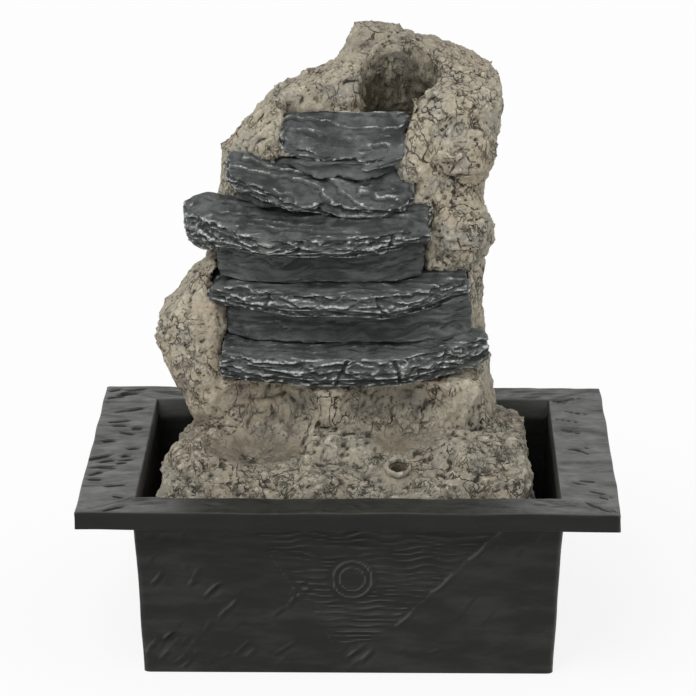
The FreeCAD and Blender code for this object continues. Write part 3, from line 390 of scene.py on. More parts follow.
rockShape = {
    "voxel": 1.19,
    "softening": 8,  # rounds of evening before the lumps
    "standing": (3.5, 9.0),  # the lowest part keeps its shape, and the relief fades in above it
    # size, height, seed
    "swells": ((40.0, 1.2, 1.0), (19.0, 1.1, 2.0), (5.0, 0.7, 17.0), (2.6, 0.5, 18.0)),
    "warp": (8.0, (8.0, 9.0, 10.0)),  # size, seeds
    "knobs": ((13.0, 1.7, 3.0), (6.2, 1.1, 4.0), (3.2, 0.55, 5.0)),  # round lumps with creases between
    "crumble": 0.16,  # how much rougher the foot is
    "footTop": (84.0, 100.0),
    "bark": 0.6,  # how much longer than wide the creases are on upright faces
    # size, depth of the cracks, uneven height, bend, seed, width of the cracks
    "plates": (10.0, 0.8, 0.3, 4.0, 2.0, 0.2),
    "plated": (27.0, 12.0),  # where the plates show: size, seed
    "chips": (4.6, 0.62, 0.42, 2.0, 6.0, 0.24),
    # bowls scooped out below the slate: middle, and half width, depth and height
    "alcoves": (((-36.0, -40.0, 98.0), (27.0, 19.5, 18.8)), ((19.5, -41.0, 100.5), (26.0, 19.5, 18.2))),
    "bowlKnobs": ((6.5, 1.9, 25.0), (2.9, 1.0, 26.0)),  # lumps left inside the bowls
    "furrows": ((9.0, 1.3, 21.0), (4.2, 1.2, 22.0)),  # upright grooves on the wall below the slate
    "furrowed": ((80.0, 87.0), (100.0, 108.0), (14.0, 22.0)),  # heights from and to, how far forward
    "pumpRoom": (-58.2, 62.8, -51.0, 48.5, 61.1),  # left, right, front, back, top
    "margin": 0.7,  # around the pump room and the throat
    "throat": ((-44.0, 42.0, 8.0, 41.0, 103.0), (7.0, 33.0, 15.5, 41.5, 185.2)),  # from, to
    "well": (20.0, 28.5, 15.0, 191.0),  # x, y, radius, floor
    "flutes": (5.0, 1.1, 14.0),  # grooves down the well
    "wellStain": (214.0, 232.0),  # fades out between these heights
    "brow": (0.3, (19.0, 28.0), (212.0, 222.0), (24.0, 32.0)),  # stain over the well: share, radius, z, y
    "lamp": (19.3, -48.0, 78.0, 24.0),  # x, y, z, tilt
    "lampClear": (5.5, 9.0),  # no relief this near the lamp's axis
    "lampBore": (4.2, 5.2),
    "lampReach": 14.0,  # along the axis
    "thinning": 3.0,  # degrees, for the flat walls that don't show
    # x, y, z, radius across, radius up, push: scoops are negative and lumps positive
    "forms": (
        (-53.0, -43.0, 81.0, 4.0, 4.0, 2.6),
        (-44.0, -42.0, 79.0, 4.0, 4.0, 2.4),
        (-35.0, -42.5, 78.0, 4.5, 4.0, 2.6),
        (-26.0, -42.0, 78.5, 4.0, 4.0, 2.4),
        (-17.0, -41.0, 80.0, 4.0, 4.0, 2.2),
        (36.0, -40.0, 82.5, 5.0, 5.0, 2.6),
        (-5.5, -31.5, 92.0, 4.0, 14.0, 2.4),
        (-8.0, -33.0, 108.0, 7.0, 3.2, 2.2),
        (46.0, -25.0, 96.0, 4.5, 14.0, 2.8),
        (-61.0, -43.0, 84.0, 6.5, 5.0, 2.8),
        (-74.0, -54.0, 74.0, 9.0, 14.0, 2.2),
        (68.0, -54.0, 74.0, 9.0, 14.0, 2.0),
        (-10.0, 44.0, 236.0, 9.0, 6.0, 1.2),
        (44.0, 20.0, 214.0, 13.0, 10.0, 1.6),
        (24.0, -2.0, 190.0, 9.0, 12.0, 4.0),
        (8.0, 34.5, 232.5, 7.0, 1.7, -1.8),
        (1.0, 36.5, 235.5, 4.0, 1.8, -1.3),
        (15.0, 37.0, 236.0, 4.0, 1.8, -1.3),
        (25.0, 5.0, 213.0, 7.0, 8.0, -3.6),
    ),
}


def insideHollow(points, shape):
    x, y, z = points.T
    margin = shape["margin"]
    left, right, front, back, top = shape["pumpRoom"]
    room = (x > left - margin) & (x < right + margin) & (z < top + margin)
    room &= (y > front - margin) & (y < back + margin)
    low, high = (np.array(box) for box in shape["throat"])
    share = np.clip((z - low[4]) / (high[4] - low[4]), 0.0, 1.0)[:, None]
    sides = low[:4] + (high[:4] - low[:4]) * share
    neck = (x > sides[:, 0] - margin) & (x < sides[:, 1] + margin) & (y > sides[:, 2] - margin)
    neck &= (y < sides[:, 3] + margin) & (z > top - 2.0) & (z < high[4] + margin)
    return room | neck


def knobsAt(points, warp, size, seed):
    return np.abs(noiseAt(points + 0.22 * size * warp, size, seed)) - 0.22  # zero on average


def rockPush(points, outward, warp, shape):
    x, y, z = points.T
    barked = points.copy()
    barked[:, 2] *= 1.0 - (1.0 - shape["bark"]) * (1.0 - np.abs(outward[:, 2]))
    push = np.zeros(len(points))
    for size, height, seed in shape["swells"]:
        push += height * noiseAt(points, size, seed)
    crumbled = 1.0 + shape["crumble"] * (1.0 - ramp(z, *shape["footTop"]))
    for size, height, seed in shape["knobs"]:
        push += height * crumbled * knobsAt(barked, warp, size, seed)
    plated = ramp(noiseAt(points, *shape["plated"]), -0.25, 0.25)
    size, depth, uneven, bend, seed, width = shape["plates"]
    gap, heights = platesAt(barked + bend * warp, size, seed)
    push += uneven * heights - depth * (1.0 - ramp(gap, 0.02, width)) * plated
    size, depth, uneven, bend, seed, width = shape["chips"]
    gap, heights = platesAt(barked + bend * warp, size, seed)
    push += (uneven * heights - depth * (1.0 - ramp(gap, 0.02, width))) * (crumbled - 0.6)
    low, high, front = shape["furrowed"]
    onWall = ramp(z, *low) * (1.0 - ramp(z, *high)) * ramp(-y, *front)
    for size, height, seed in shape["furrows"]:
        push += height * onWall * noiseAt(points * np.array((1.0, 1.0, 0.2)), size, seed)
    for middleX, middleY, middleZ, across, upward, lift in shape["forms"]:
        far = ((x - middleX) ** 2 + (y - middleY) ** 2) / across**2 + ((z - middleZ) / upward) ** 2
        push += lift * np.exp(-far)
    return push


def scoopAlcoves(points, free, shape):
    shade = np.zeros(len(points))
    bowls = np.zeros(len(points))
    for middle, radii in shape["alcoves"]:
        fromMiddle = points - np.array(middle)
        far = np.maximum(np.linalg.norm(fromMiddle / np.array(radii), axis=1), 0.3)
        points = points + fromMiddle * (0.9 * free * np.maximum(1.0 / far - 1.0, 0.0))[:, None]
        low = 1.0 - ramp(-fromMiddle[:, 2] / radii[2], 0.85, 0.4)
        shade = np.maximum(shade, low * (1.0 - ramp(far, 1.0, 1.07)))
        bowls = np.maximum(bowls, (1.0 - ramp(far, 0.96, 1.06)) * (1.0 - 0.7 * low))
    return points, shade, bowls


def thinHidden(rock, hidden, angle):
    bm = bmesh.new()
    bm.from_mesh(rock.data)
    verts = [vert for vert, isHidden in zip(bm.verts, hidden) if isHidden]
    edges = [edge for edge in bm.edges if hidden[edge.verts[0].index] and hidden[edge.verts[1].index]]
    where = {"verts": verts, "edges": edges, "use_dissolve_boundaries": False}
    bmesh.ops.dissolve_limit(bm, angle_limit=math.radians(angle), **where)
    bmesh.ops.triangulate(bm, faces=[face for face in bm.faces if len(face.verts) > 4])
    bm.to_mesh(rock.data)
    bm.free()


def makeRock(shape):
    nodes = ("rock_foot", "rock_waist", "rock_body", "rock_crown")
    rock = voxelStone("rockCasting", nodes, shape["voxel"])
    points, outward, edges = readStone(rock)
    hidden = insideHollow(points, shape)
    free = (~hidden).astype(float) * ramp(points[:, 2], *shape["standing"])
    tilt = math.radians(shape["lamp"][3])
    axis = np.array((0.0, -math.sin(tilt), math.cos(tilt)))
    toLamp = points - np.array(shape["lamp"][:3])
    along = toLamp @ axis
    offAxis = np.linalg.norm(toLamp - np.outer(along, axis), axis=1)
    nearLamp = np.abs(along) < shape["lampReach"]
    free *= np.where(nearLamp, ramp(offAxis, *shape["lampClear"]), 1.0)
    softened = evened(points, edges, shape["softening"])
    writeStone(rock, points + (softened - points) * free[:, None])
    points, outward, edges = readStone(rock)
    size, seeds = shape["warp"]
    warp = np.stack([noiseAt(points, size, seed) for seed in seeds], 1)
    push = rockPush(points, outward, warp, shape)
    wellX, wellY, wellRadius, wellFloor = shape["well"]
    fromWell = np.hypot(points[:, 0] - wellX, points[:, 1] - wellY)
    inWell = 1.0 - ramp(fromWell, wellRadius + 0.5, wellRadius + 6.0)
    inWell *= ramp(points[:, 2], wellFloor - 3.0, wellFloor + 1.0)
    size, height, seed = shape["flutes"]
    push += inWell * height * noiseAt(points * np.array((1.0, 1.0, 0.25)), size, seed)
    points = points + outward * (push * free)[:, None]
    points, shade, bowls = scoopAlcoves(points, free, shape)
    for size, height, seed in shape["bowlKnobs"]:
        lumps = height * knobsAt(points, warp, size, seed)
        points = points + outward * (lumps * bowls * free)[:, None]
    writeStone(rock, points)
    points, outward, edges = readStone(rock)
    storeValue(rock, "sunken", depthBelow(points, outward, edges, 7) * free)
    # painted shade, with some dirt, in broad hollows
    storeValue(rock, "broadHollowShade", depthBelow(points, outward, edges, 60) * free)
    # painted shade in the lower part of each alcove and inside the lamp's bore
    storeValue(rock, "shadedTrough", np.maximum(shade, nearLamp * (1.0 - ramp(offAxis, *shape["lampBore"]))))
    share, radius, heights, depths = shape["brow"]
    brow = share * (1.0 - ramp(fromWell, *radius)) * ramp(points[:, 2], *heights)
    brow *= ramp(points[:, 1], *depths)
    inWell *= 1.0 - ramp(points[:, 2], *shape["wellStain"])
    storeValue(rock, "stain", np.maximum(inWell, brow))
    thinHidden(rock, hidden, shape["thinning"])
    dress(rock, rockPaint(rockFinish), "rock", "rock_resin", *nodes)
    return rock


rock = makeRock(rockShape)
print("rock:", len(rock.data.vertices), "points")

lampRing = {
    "radius": 4.65,  # middle of the ring
    "thick": 0.95,
    "tall": 1.4,
    "along": 2.3,  # up the lamp's axis
    "sides": 16,
    "steps": 72,
    "lumps": ((2.6, 0.3, 15.0), (1.2, 0.15, 16.0)),  # size, height, seed
}


def makeLampRing(shape, lamp):
    bm = bmesh.new()
    bmesh.ops.create_circle(bm, cap_ends=False, segments=shape["sides"], radius=mm)
    bmesh.ops.scale(bm, vec=(shape["thick"], shape["tall"], 1.0), verts=bm.verts)
    quarter = Matrix.Rotation(math.radians(90.0), 3, "X")
    bmesh.ops.rotate(bm, cent=(0, 0, 0), matrix=quarter, verts=bm.verts)
    bmesh.ops.translate(bm, vec=(shape["radius"] * mm, 0.0, shape["along"] * mm), verts=bm.verts)
    outline = bm.verts[:] + bm.edges[:]
    turn = {"cent": (0, 0, 0), "axis": (0, 0, 1), "dvec": (0, 0, 0), "angle": 2 * math.pi}
    bmesh.ops.spin(bm, geom=outline, steps=shape["steps"], use_merge=True, use_duplicate=False, **turn)
    bmesh.ops.recalc_face_normals(bm, faces=bm.faces)
    x, y, z, tilt = lamp
    lean = Matrix.Rotation(math.radians(tilt), 4, "X")
    bmesh.ops.transform(bm, matrix=Matrix.Translation(Vector((x, y, z)) * mm) @ lean, verts=bm.verts)
    ring = linkPiece("lampRing", bm)
    points, outward, edges = readStone(ring)
    push = sum(height * noiseAt(points, size, seed) for size, height, seed in shape["lumps"])
    writeStone(ring, points + outward * push[:, None])
    storeValue(ring, "sunken", -0.25 - push)
    for word in ("stain", "broadHollowShade", "shadedTrough"):
        storeValue(ring, word, np.zeros(len(points)))
    dress(ring, bpy.data.materials["castRock"], "rock", "rock_resin")
    return ring


makeLampRing(lampRing, rockShape["lamp"])


# slate: five slabs and the four blocks set back between them

slateFinish = {
    "deep": (0.017, 0.019, 0.019, 1.0),
    "mid": (0.088, 0.095, 0.092, 1.0),
    "dust": (0.135, 0.142, 0.138, 1.0),
    "dryBrush": (0.56, 0.57, 0.55, 1.0),
    "brushed": 1.0,  # how much of the dry brush shows
    "roughness": (0.50, 0.76),
    "bump": (0.95, 1.0),
}
riserFinish = dict(slateFinish, deep=(0.028, 0.031, 0.030, 1.0), brushed=0.16)


def slatePaint(name, finish):
    material, tree, place = startPaint(name, {"Specular IOR Level": 0.35})
    x, y = addNode(tree, "ShaderNodeSeparateXYZ", {0: place}).outputs[:2]
    height = timesOf(tree, valueOf(tree, "layers"), 0.013)
    layered = addNode(tree, "ShaderNodeCombineXYZ", {0: x, 1: y, 2: height}).outputs[0]
    strata = noiseOf(tree, layered, 70.0, 5.0, 0.6, 0.4)
    colour = mixOf(tree, rampOf(tree, strata, 0.36, 0.62), finish["deep"], finish["mid"])
    tread = valueOf(tree, "tread")
    dusty = rampOf(tree, noiseOf(tree, place, 85.0, 5.0, 0.6), 0.42, 0.72)
    colour = mixOf(tree, timesOf(tree, timesOf(tree, tread, dusty), 0.6), colour, finish["dust"])
    shaded = rampOf(tree, noiseOf(tree, layered, 48.0, 5.0, 0.6, 0.6), 0.5, 0.34, 0.0, 0.7)
    colour = mixOf(tree, timesOf(tree, tread, shaded), colour, finish["deep"])
    ragged = mathOf(tree, "SUBTRACT", noiseOf(tree, layered, 210.0, 6.0, 0.72), 0.5)
    ragged = timesOf(tree, ragged, 2.4)
    wear = rampOf(tree, mathOf(tree, "ADD", valueOf(tree, "wear"), ragged), 0.3, 1.4)
    bristles = rampOf(tree, noiseOf(tree, place, 1000.0, 3.0, 0.65), 0.36, 0.6, 0.3, 1.0)
    light = timesOf(tree, timesOf(tree, wear, bristles), finish["brushed"])
    missed = rampOf(tree, noiseOf(tree, place, 170.0, 5.0, 0.65), 0.55, 0.4, 0.0, 0.9)
    reached = mathOf(tree, "SUBTRACT", 1.0, timesOf(tree, tread, missed))
    colour = mixOf(tree, timesOf(tree, light, reached), colour, finish["dryBrush"])
    hollow = rampOf(tree, valueOf(tree, "wear"), -0.12, -0.8, 0.0, 0.9)
    colour = mixOf(tree, hollow, colour, finish["deep"])
    rough = rampOf(tree, noiseOf(tree, place, 240.0, 4.0), 0.3, 0.7, *finish["roughness"])
    relief = mathOf(tree, "ADD", strata, timesOf(tree, noiseOf(tree, layered, 330.0, 6.0, 0.6), 0.6))
    endPaint(tree, colour, rough, relief, *finish["bump"])
    return material


slateShape = {
    "voxel": 0.75,
    "softening": 7,
    "endSoftening": 26,  # more rounds for the two ends
    "warp": (23.0, (1.6, 2.6, 1.0)),  # size, and reach along x, y and z
    "layer": 2.5,  # thickness of a split layer
    # how the layers bend: size, reach, seed
    "waves": ((25.0, 1.5, 0.0), (10.0, 0.75, 1.0), (4.5, 0.25, 5.0)),
    "layerPush": 1.7,
    "groove": 0.6,
    "crag": 2.6,
    "cragStretch": (0.36, 0.62, 1.1),
    "step": 2.4,  # how close the terraces follow one another
    # from x, over (minus towards the right), down by, and reach to the front where only the front bends
    "droops": {
        "slab_third": (-46.0, 20.0, 2.5, 0.0),
        "slab_fourth": (-40.0, 16.0, 1.5, 0.0),
        "slab_second": (-8.0, -28.0, 5.0, 5.0),
    },
    "lobes": {"slab_third": (-46.0, 14.0, 0.75)},  # from x, over, how much thicker
    "rolls": {"slab_top": (6.0, 0.05)},  # from y, how strongly the front rolls over
    "rounds": {"slab_third": 10.0, "slab_fourth": 6.0},  # free left ends
    "flare": (7.0, 3.2, 1.8, 5.0),  # cove of a block: height, foot, brow, and how far the ends turn back
    # slope, roll, seed, share of the relief, height and turn of the terraces, cracks as (x, lean, depth)
    "slab_lowest": (
        8.0, 0.0, 1.0, 1.0, 0.7, 0.0, ((-3.5, 0.35, 1.5), (19.0, -0.3, 1.8), (36.0, 0.4, 1.1)),
    ),
    "slab_fourth": (5.0, 0.0, 2.0, 1.0, 0.8, 0.0, ((-33.0, 0.2, 1.5), (12.0, -0.2, 1.4))),
    "slab_third": (16.0, 0.0, 3.0, 1.0, 0.9, 0.0, ((16.0, 0.1, 2.0), (-20.0, 0.2, 1.3))),
    "slab_second": (34.0, 3.0, 4.0, 1.0, 1.7, 0.34, ((-12.0, 0.3, 1.3),)),
    "slab_top": (33.0, 0.0, 5.0, 1.0, 1.5, 0.14, ((2.0, 0.2, 1.2),)),
    "block_lowest": (6.0, 0.0, 6.0, 0.45, 0.4, 0.0, ()),
    "block_fourth": (6.0, 0.0, 7.0, 0.45, 0.4, 0.0, ()),
    "block_third": (16.0, 2.0, 8.0, 0.45, 0.4, 0.0, ()),
    "block_second": (30.0, 2.0, 9.0, 0.45, 0.4, 0.0, ()),
}
slatePieces = [key for key in slateShape if key.startswith(("slab", "block"))]


def bendSlate(points, node, shape, ends):
    if node.startswith("block"):
        height, foot, brow, turnedBack = shape["flare"]
        points[:, 1] -= foot * (1.0 - ramp(points[:, 2] - points[:, 2].min(), 0.0, height)) ** 2
        points[:, 1] -= brow * (1.0 - ramp(points[:, 2].max() - points[:, 2], 0.0, height)) ** 2
        points[:, 1] += turnedBack * ends**2
    tilted = points[:, 2] - math.tan(math.radians(shape[node][0])) * points[:, 1]
    tilted -= tilted.mean()
    if node in shape["lobes"]:
        start, over, thicker = shape["lobes"][node]
        points[:, 2] += thicker * ramp(start - points[:, 0], 0.0, over) * tilted
    if node in shape["rounds"]:
        reach = np.clip(1.0 - (points[:, 0] - points[:, 0].min()) / shape["rounds"][node], 0.0, 1.0)
        points[:, 2] -= (1.0 - np.sqrt(1.0 - 0.96 * reach**2)) * tilted
    if node in shape["rolls"]:
        start, curve = shape["rolls"][node]
        points[:, 2] -= curve * np.maximum(start - points[:, 1], 0.0) ** 2
    if node in shape["droops"]:
        start, over, by, reach = shape["droops"][node]
        bent = ramp(math.copysign(1.0, over) * (start - points[:, 0]), 0.0, abs(over))
        if reach:
            bent *= 1.0 - ramp(points[:, 1] - points[:, 1].min(), 3.0, 18.0)
        points -= np.outer(bent, (0.0, reach, by))


def makeSlate(node, shape, paint):
    slope, roll, seed, share, terrace, turned, cracks = shape[node]
    word = node.split("_")
    stone = voxelStone(word[0] + word[1].capitalize() + "Stone", (node,), shape["voxel"])
    points, outward, edges = readStone(stone)
    x = points[:, 0]
    ends = 1.0 - ramp(np.minimum(x - x.min(), x.max() - x), 3.0, 15.0)
    points = evened(points, edges, shape["softening"])
    rounds = shape["endSoftening"] * (2 if word[0] == "block" else 1)
    points += (evened(points, edges, rounds) - points) * ends[:, None]
    size, reach = shape["warp"]
    points += share * np.stack([reach[k] * noiseAt(points, size, seed + 20.0 + k) for k in range(3)], 1)
    bendSlate(points, node, shape, ends)
    writeStone(stone, points)
    points, outward, edges = readStone(stone)
    lean = Vector((slope, roll, 0.0))
    up = np.array(Matrix.Rotation(math.radians(lean.length), 3, lean) @ Vector((0.0, 0.0, 1.0)))
    rise = outward @ up
    level = points @ up
    # split layers, each pushed out by its own amount, on the faces
    layers = level / shape["layer"]
    for size, height, extra in shape["waves"]:
        layers = layers + height * noiseAt(points, size, seed + extra)
    number = np.floor(layers)
    within = layers - number
    shifted = points * np.array((1.0, 1.0, 0.2))
    shifted = shifted + np.stack((number * 13.7, number * 29.1, number * 7.7), 1)
    push = noiseAt(shifted, 14.0, seed + 2.0) + 0.6 * noiseAt(shifted, 6.0, seed + 3.0)
    push = shape["layerPush"] * push
    push -= shape["groove"] * (1.0 - ramp(np.minimum(within, 1.0 - within), 0.0, 0.24))
    jitter = np.stack([noiseAt(points, 6.0, seed + k) for k in (11.0, 12.0, 13.0)], 1)
    flat = points * np.array(shape["cragStretch"]) + 0.8 * jitter
    crags = 0.3 - np.abs(noiseAt(flat, 3.6, seed + 4.0)) - 0.55 * np.abs(noiseAt(flat, 1.9, seed + 10.0))
    push += 0.7 * noiseAt(points, 7.0, seed + 4.0) + shape["crag"] * crags
    for place, tip, depth in cracks:
        middle = place + tip * (level - level.mean()) + 1.4 * noiseAt(points, 5.0, seed + 6.0)
        push -= depth * np.exp(-(((points[:, 0] - middle) / 0.9) ** 2))
    # low terraces on the treads
    steps = 0.06 * (points[:, 1] + turned * points[:, 0])
    steps = steps + 0.5 * noiseAt(points * np.array((0.4, 1.0, 1.0)), 14.0, seed + 7.0)
    steps = shape["step"] * (steps + 0.12 * noiseAt(points, 5.0, seed + 8.0))
    part = steps - np.floor(steps)
    terraces = terrace * (ramp(part, 0.8, 1.0) - part + 0.4) + 0.42 * shape["crag"] * crags
    sideways = outward - np.outer(rise, up)
    sideways /= np.maximum(np.linalg.norm(sideways, axis=1), 1e-6)[:, None]
    push *= ramp(1.0 - np.abs(rise), 0.2, 0.6) * share
    terraces *= ramp(rise, 0.55, 0.9) * share
    writeStone(stone, points + sideways * push[:, None] + np.outer(terraces, up))
    points, outward, edges = readStone(stone)
    storeValue(stone, "wear", -depthBelow(points, outward, edges, 4) / 0.27)
    storeValue(stone, "tread", ramp(outward @ up, 0.45, 0.9))
    storeValue(stone, "layers", layers)
    dress(stone, paint, "rock", "slate_resin", node)
    return stone


slatePaints = {
    "slab": slatePaint("slateStone", slateFinish),
    "block": slatePaint("slateRiser", riserFinish),
}
for node in slatePieces:
    stone = makeSlate(node, slateShape, slatePaints[node.split("_")[0]])
    print("slate:", stone.name, len(stone.data.vertices), "points")


# tub: moulded black basin with a hewn rim and a raked pattern on its front

tubFinish = {
    "black": (0.0088, 0.0095, 0.0082, 1.0),
    "grey": (0.0222, 0.0236, 0.0196, 1.0),
    "speck": (0.105, 0.105, 0.100, 1.0),
    "board": (0.095, 0.095, 0.091, 1.0),  # grey on top of the rim
    # darker lip colour, also put on the inside of the tub as painted shade
    "lip": (0.0058, 0.0062, 0.0055, 1.0),
    "crack": (0.0030, 0.0031, 0.0030, 1.0),
    "roughness": (0.37, 0.57),
    "bump": (0.4, 0.4),
}


def tubPaint(finish):
    material, tree, place = startPaint("tubPlastic", {"Specular IOR Level": 0.22})
    streaked = mappedOf(tree, place, "Scale", (1.0, 1.0, 4.0))
    grained = mappedOf(tree, place, "Scale", (0.3, 1.0, 1.0))
    cloud = noiseOf(tree, streaked, 40.0, 6.0, 0.6)
    colour = mixOf(tree, rampOf(tree, cloud, 0.38, 0.7), finish["black"], finish["grey"])
    grain = rampOf(tree, noiseOf(tree, grained, 110.0, 6.0, 0.6, 0.6), 0.28, 0.6)
    ragged = mathOf(tree, "SUBTRACT", noiseOf(tree, grained, 420.0, 4.0), 0.5)
    ragged = timesOf(tree, ragged, 0.45)
    slash = rampOf(tree, mathOf(tree, "ADD", valueOf(tree, "notch"), ragged), 0.42, 0.68)
    board = timesOf(tree, valueOf(tree, "board"), grain)
    colour = mixOf(tree, board, colour, finish["board"])
    # darker on the lip, and painted shade on the inside of the tub
    colour = mixOf(tree, timesOf(tree, valueOf(tree, "lip"), 0.75), colour, finish["lip"])
    wear = valueOf(tree, "wear")
    colour = mixOf(tree, rampOf(tree, wear, 0.3, 1.3, 0.0, 0.42), colour, finish["speck"])
    colour = mixOf(tree, rampOf(tree, wear, -0.2, -1.0, 0.0, 0.95), colour, finish["black"])
    colour = mixOf(tree, timesOf(tree, slash, 0.95), colour, finish["crack"])
    dots = rampOf(tree, noiseOf(tree, place, 620.0, 2.0), 0.74, 0.79, 0.0, 0.3)
    colour = mixOf(tree, dots, colour, finish["speck"])
    rough = rampOf(tree, noiseOf(tree, streaked, 130.0, 5.0), 0.3, 0.7, *finish["roughness"])
    height = mathOf(tree, "ADD", noiseOf(tree, place, 700.0, 4.0), timesOf(tree, cloud, 2.0))
    height = mathOf(tree, "ADD", height, timesOf(tree, board, 0.7))
    height = mathOf(tree, "SUBTRACT", height, timesOf(tree, slash, 3.0))
    endPaint(tree, colour, rough, height, *finish["bump"])
    return material


tubShape = {
    "columns": (230, 150, 60, 150),  # front, right, back, left
    "corner": 2.5,
    # half width, half depth and height of each ring, and the rows that lead up to it
    "profile": (
        (80.5, 64.2, 0.0, 0),
        (84.1, 67.8, 70.6, 84),
        (103.0, 83.0, 70.6, 5),
        (103.0, 83.0, 65.9, 2),
        (103.3, 83.3, 65.7, 1),
        (104.7, 84.7, 65.7, 1),
        (105.0, 85.0, 66.0, 1),
        (105.0, 85.0, 72.5, 6),
        (104.5, 84.5, 73.0, 1),
        (82.8, 66.5, 73.0, 26),
        (82.3, 66.0, 72.5, 1),
        (78.7, 62.4, 2.5, 8),
    ),
    "wallReach": (90.0, 72.0),  # the flange is past these
    "rimLevel": 72.3,
    "rimEdge": (105.2, 85.2),
    "lipFrom": (104.6, 84.6, 65.0),
    "inside": (83.0, 66.7, 72.6),
    "boards": (94.0, 76.0, 7.0),  # middle of the side and front boards, and half their cut width
    "rimMiddle": (93.5, 75.5),
    "mitre": 1.16,  # slope of the joints between the four rim boards
    "sway": (24.0, 0.5, 63.0),  # how far the rim's edges stray: size, reach, seed
    "seed": 11,
    # count, from x, to x, from z, to z, angles, lengths, depth
    "frontStrokes": (
        (34, -76, -16, 3, 40, (28, 60), (6, 13), 0.68),
        (9, -26, 12, 2, 9, (30, 55), (5, 9), 0.55),
        (12, 20, 76, 4, 34, (20, 60), (5, 11), 0.45),
        (6, 56, 78, 34, 62, (30, 70), (4, 8), 0.45),
        (6, -78, -58, 36, 62, (40, 75), (3, 6), 0.55),
    ),
    "sideStrokes": (30, -62, 62, 3, 62, (35, 65), (4, 9), 0.28),
    "slashes": ((-1, 26, (-5, 50)), (1, 15, (130, 185))),  # side, count and angles of the dark cuts
    "rings": (1.5, 40.0, ((7.5, 1.15), (5.0, 0.95))),  # middle x, z, and radius and height of each
    "leftEdge": ((-40.0, 64.0), (-6.0, 13.0)),
    "rightEdge": ((63.0, 64.0), (20.5, 22.5)),
    "apex": 10.0,
    "ripple": (2.5, 0.5),  # spacing, height
    "ridge": 1.05,
}


def strokesIn(chance, count, left, right, low, high, angles, lengths, depth):
    made = []
    for number in range(count):
        made.append((
            chance.uniform(left, right),
            chance.uniform(low, high),
            math.radians(chance.uniform(*angles)),
            chance.uniform(*lengths),
            depth * chance.uniform(0.6, 1.2),
        ))
    return made


def strokeParts(u, v, stroke):
    x, z, angle, length = stroke[:4]
    along = (u - x) * math.cos(angle) + (v - z) * math.sin(angle)
    across = (v - z) * math.cos(angle) - (u - x) * math.sin(angle)
    return np.exp(-((along / (0.5 * length)) ** 4)), across


def carve(u, v, strokes, width):
    relief = np.zeros(len(u))
    for stroke in strokes:
        body, across = strokeParts(u, v, stroke)
        relief -= stroke[4] * body * np.exp(-((across / width) ** 2))
        relief += 0.5 * stroke[4] * body * np.exp(-(((across - 1.8 * width) / width) ** 2))
    return relief


def darkened(u, v, strokes, width):
    dark = np.zeros(len(u))
    for stroke in strokes:
        body, across = strokeParts(u, v, stroke)
        dark = np.maximum(dark, body * np.exp(-((across / width) ** 2)))
    return dark


def fromLine(u, v, start, end):
    run = np.array(end) - np.array(start)
    length = np.linalg.norm(run)
    along = ((u - start[0]) * run[0] + (v - start[1]) * run[1]) / length
    across = ((u - start[0]) * run[1] - (v - start[1]) * run[0]) / length
    return along / length, across


def frontRelief(points, shape, chance):
    u, v = points[:, 0], points[:, 2]
    wave = noiseAt(points, 19.0, 31.0)
    leftAlong, leftAcross = fromLine(u, v, *shape["leftEdge"])
    rightAlong, rightAcross = fromLine(u, v, *shape["rightEdge"])
    field = ramp(-leftAcross, -0.5, 2.5) * ramp(rightAcross, -0.5, 2.5)
    field *= ramp(v, shape["apex"], shape["apex"] + 5.0) * ramp(67.0 - v, 0.0, 4.0)
    spacing, height = shape["ripple"]
    phase = v + 2.1 * noiseAt(points * np.array((0.5, 1.0, 1.0)), 6.0, 33.0) + 0.9 * wave
    ripples = height * np.sin(2 * math.pi * phase / spacing)
    ripples *= 0.55 + 0.9 * np.abs(noiseAt(points, 12.0, 34.0))
    middleX, middleZ, circles = shape["rings"]
    radius = np.hypot(u - middleX, v - middleZ)
    calm = ramp(radius, circles[0][0] + 0.6, circles[0][0] + 2.6)
    relief = field * ripples * calm
    for size, lift in circles:
        relief += lift * np.exp(-(((radius - size - 0.25 * wave) / 0.75) ** 2))
    wobble = 0.7 * noiseAt(points, 5.0, 35.0)
    onRidge = ramp(rightAlong, -0.05, 0.02) * (1.0 - 0.75 * ramp(rightAlong, 0.95, 1.15))
    onRidge *= 1.0 - ramp(rightAlong, 1.2, 1.5)
    onRidge *= 0.45 + 0.55 * ramp(noiseAt(points, 8.0, 38.0), -0.3, 0.15)
    relief += shape["ridge"] * onRidge * np.exp(-(((rightAcross + wobble) / 1.0) ** 2))
    relief -= 0.35 * onRidge * np.exp(-(((rightAcross + wobble + 2.0) / 1.0) ** 2))
    onLeft = ramp(leftAlong, -0.1, 0.05) * (1.0 - ramp(leftAlong, 0.95, 1.1))
    onLeft *= ramp(noiseAt(points, 7.0, 36.0), -0.3, 0.2)
    relief += 0.45 * onLeft * np.exp(-(((leftAcross + wobble) / 0.8) ** 2))
    strokes = []
    for group in shape["frontStrokes"]:
        strokes += strokesIn(chance, *group)
    bent = 1.1 * noiseAt(points, 6.0, 37.0)
    return relief + carve(u + bent, v + bent, strokes, 1.1) + 0.35 * wave


def sideRelief(u, v, points, shape, chance):
    strokes = strokesIn(chance, *shape["sideStrokes"])
    return carve(u, v, strokes, 1.0) + 0.35 * noiseAt(points, 16.0, 41.0)


def pastMitre(x, y, shape):
    middleX, middleY = shape["rimMiddle"]
    return np.abs(x) - middleX - (np.abs(y) - middleY) * shape["mitre"]


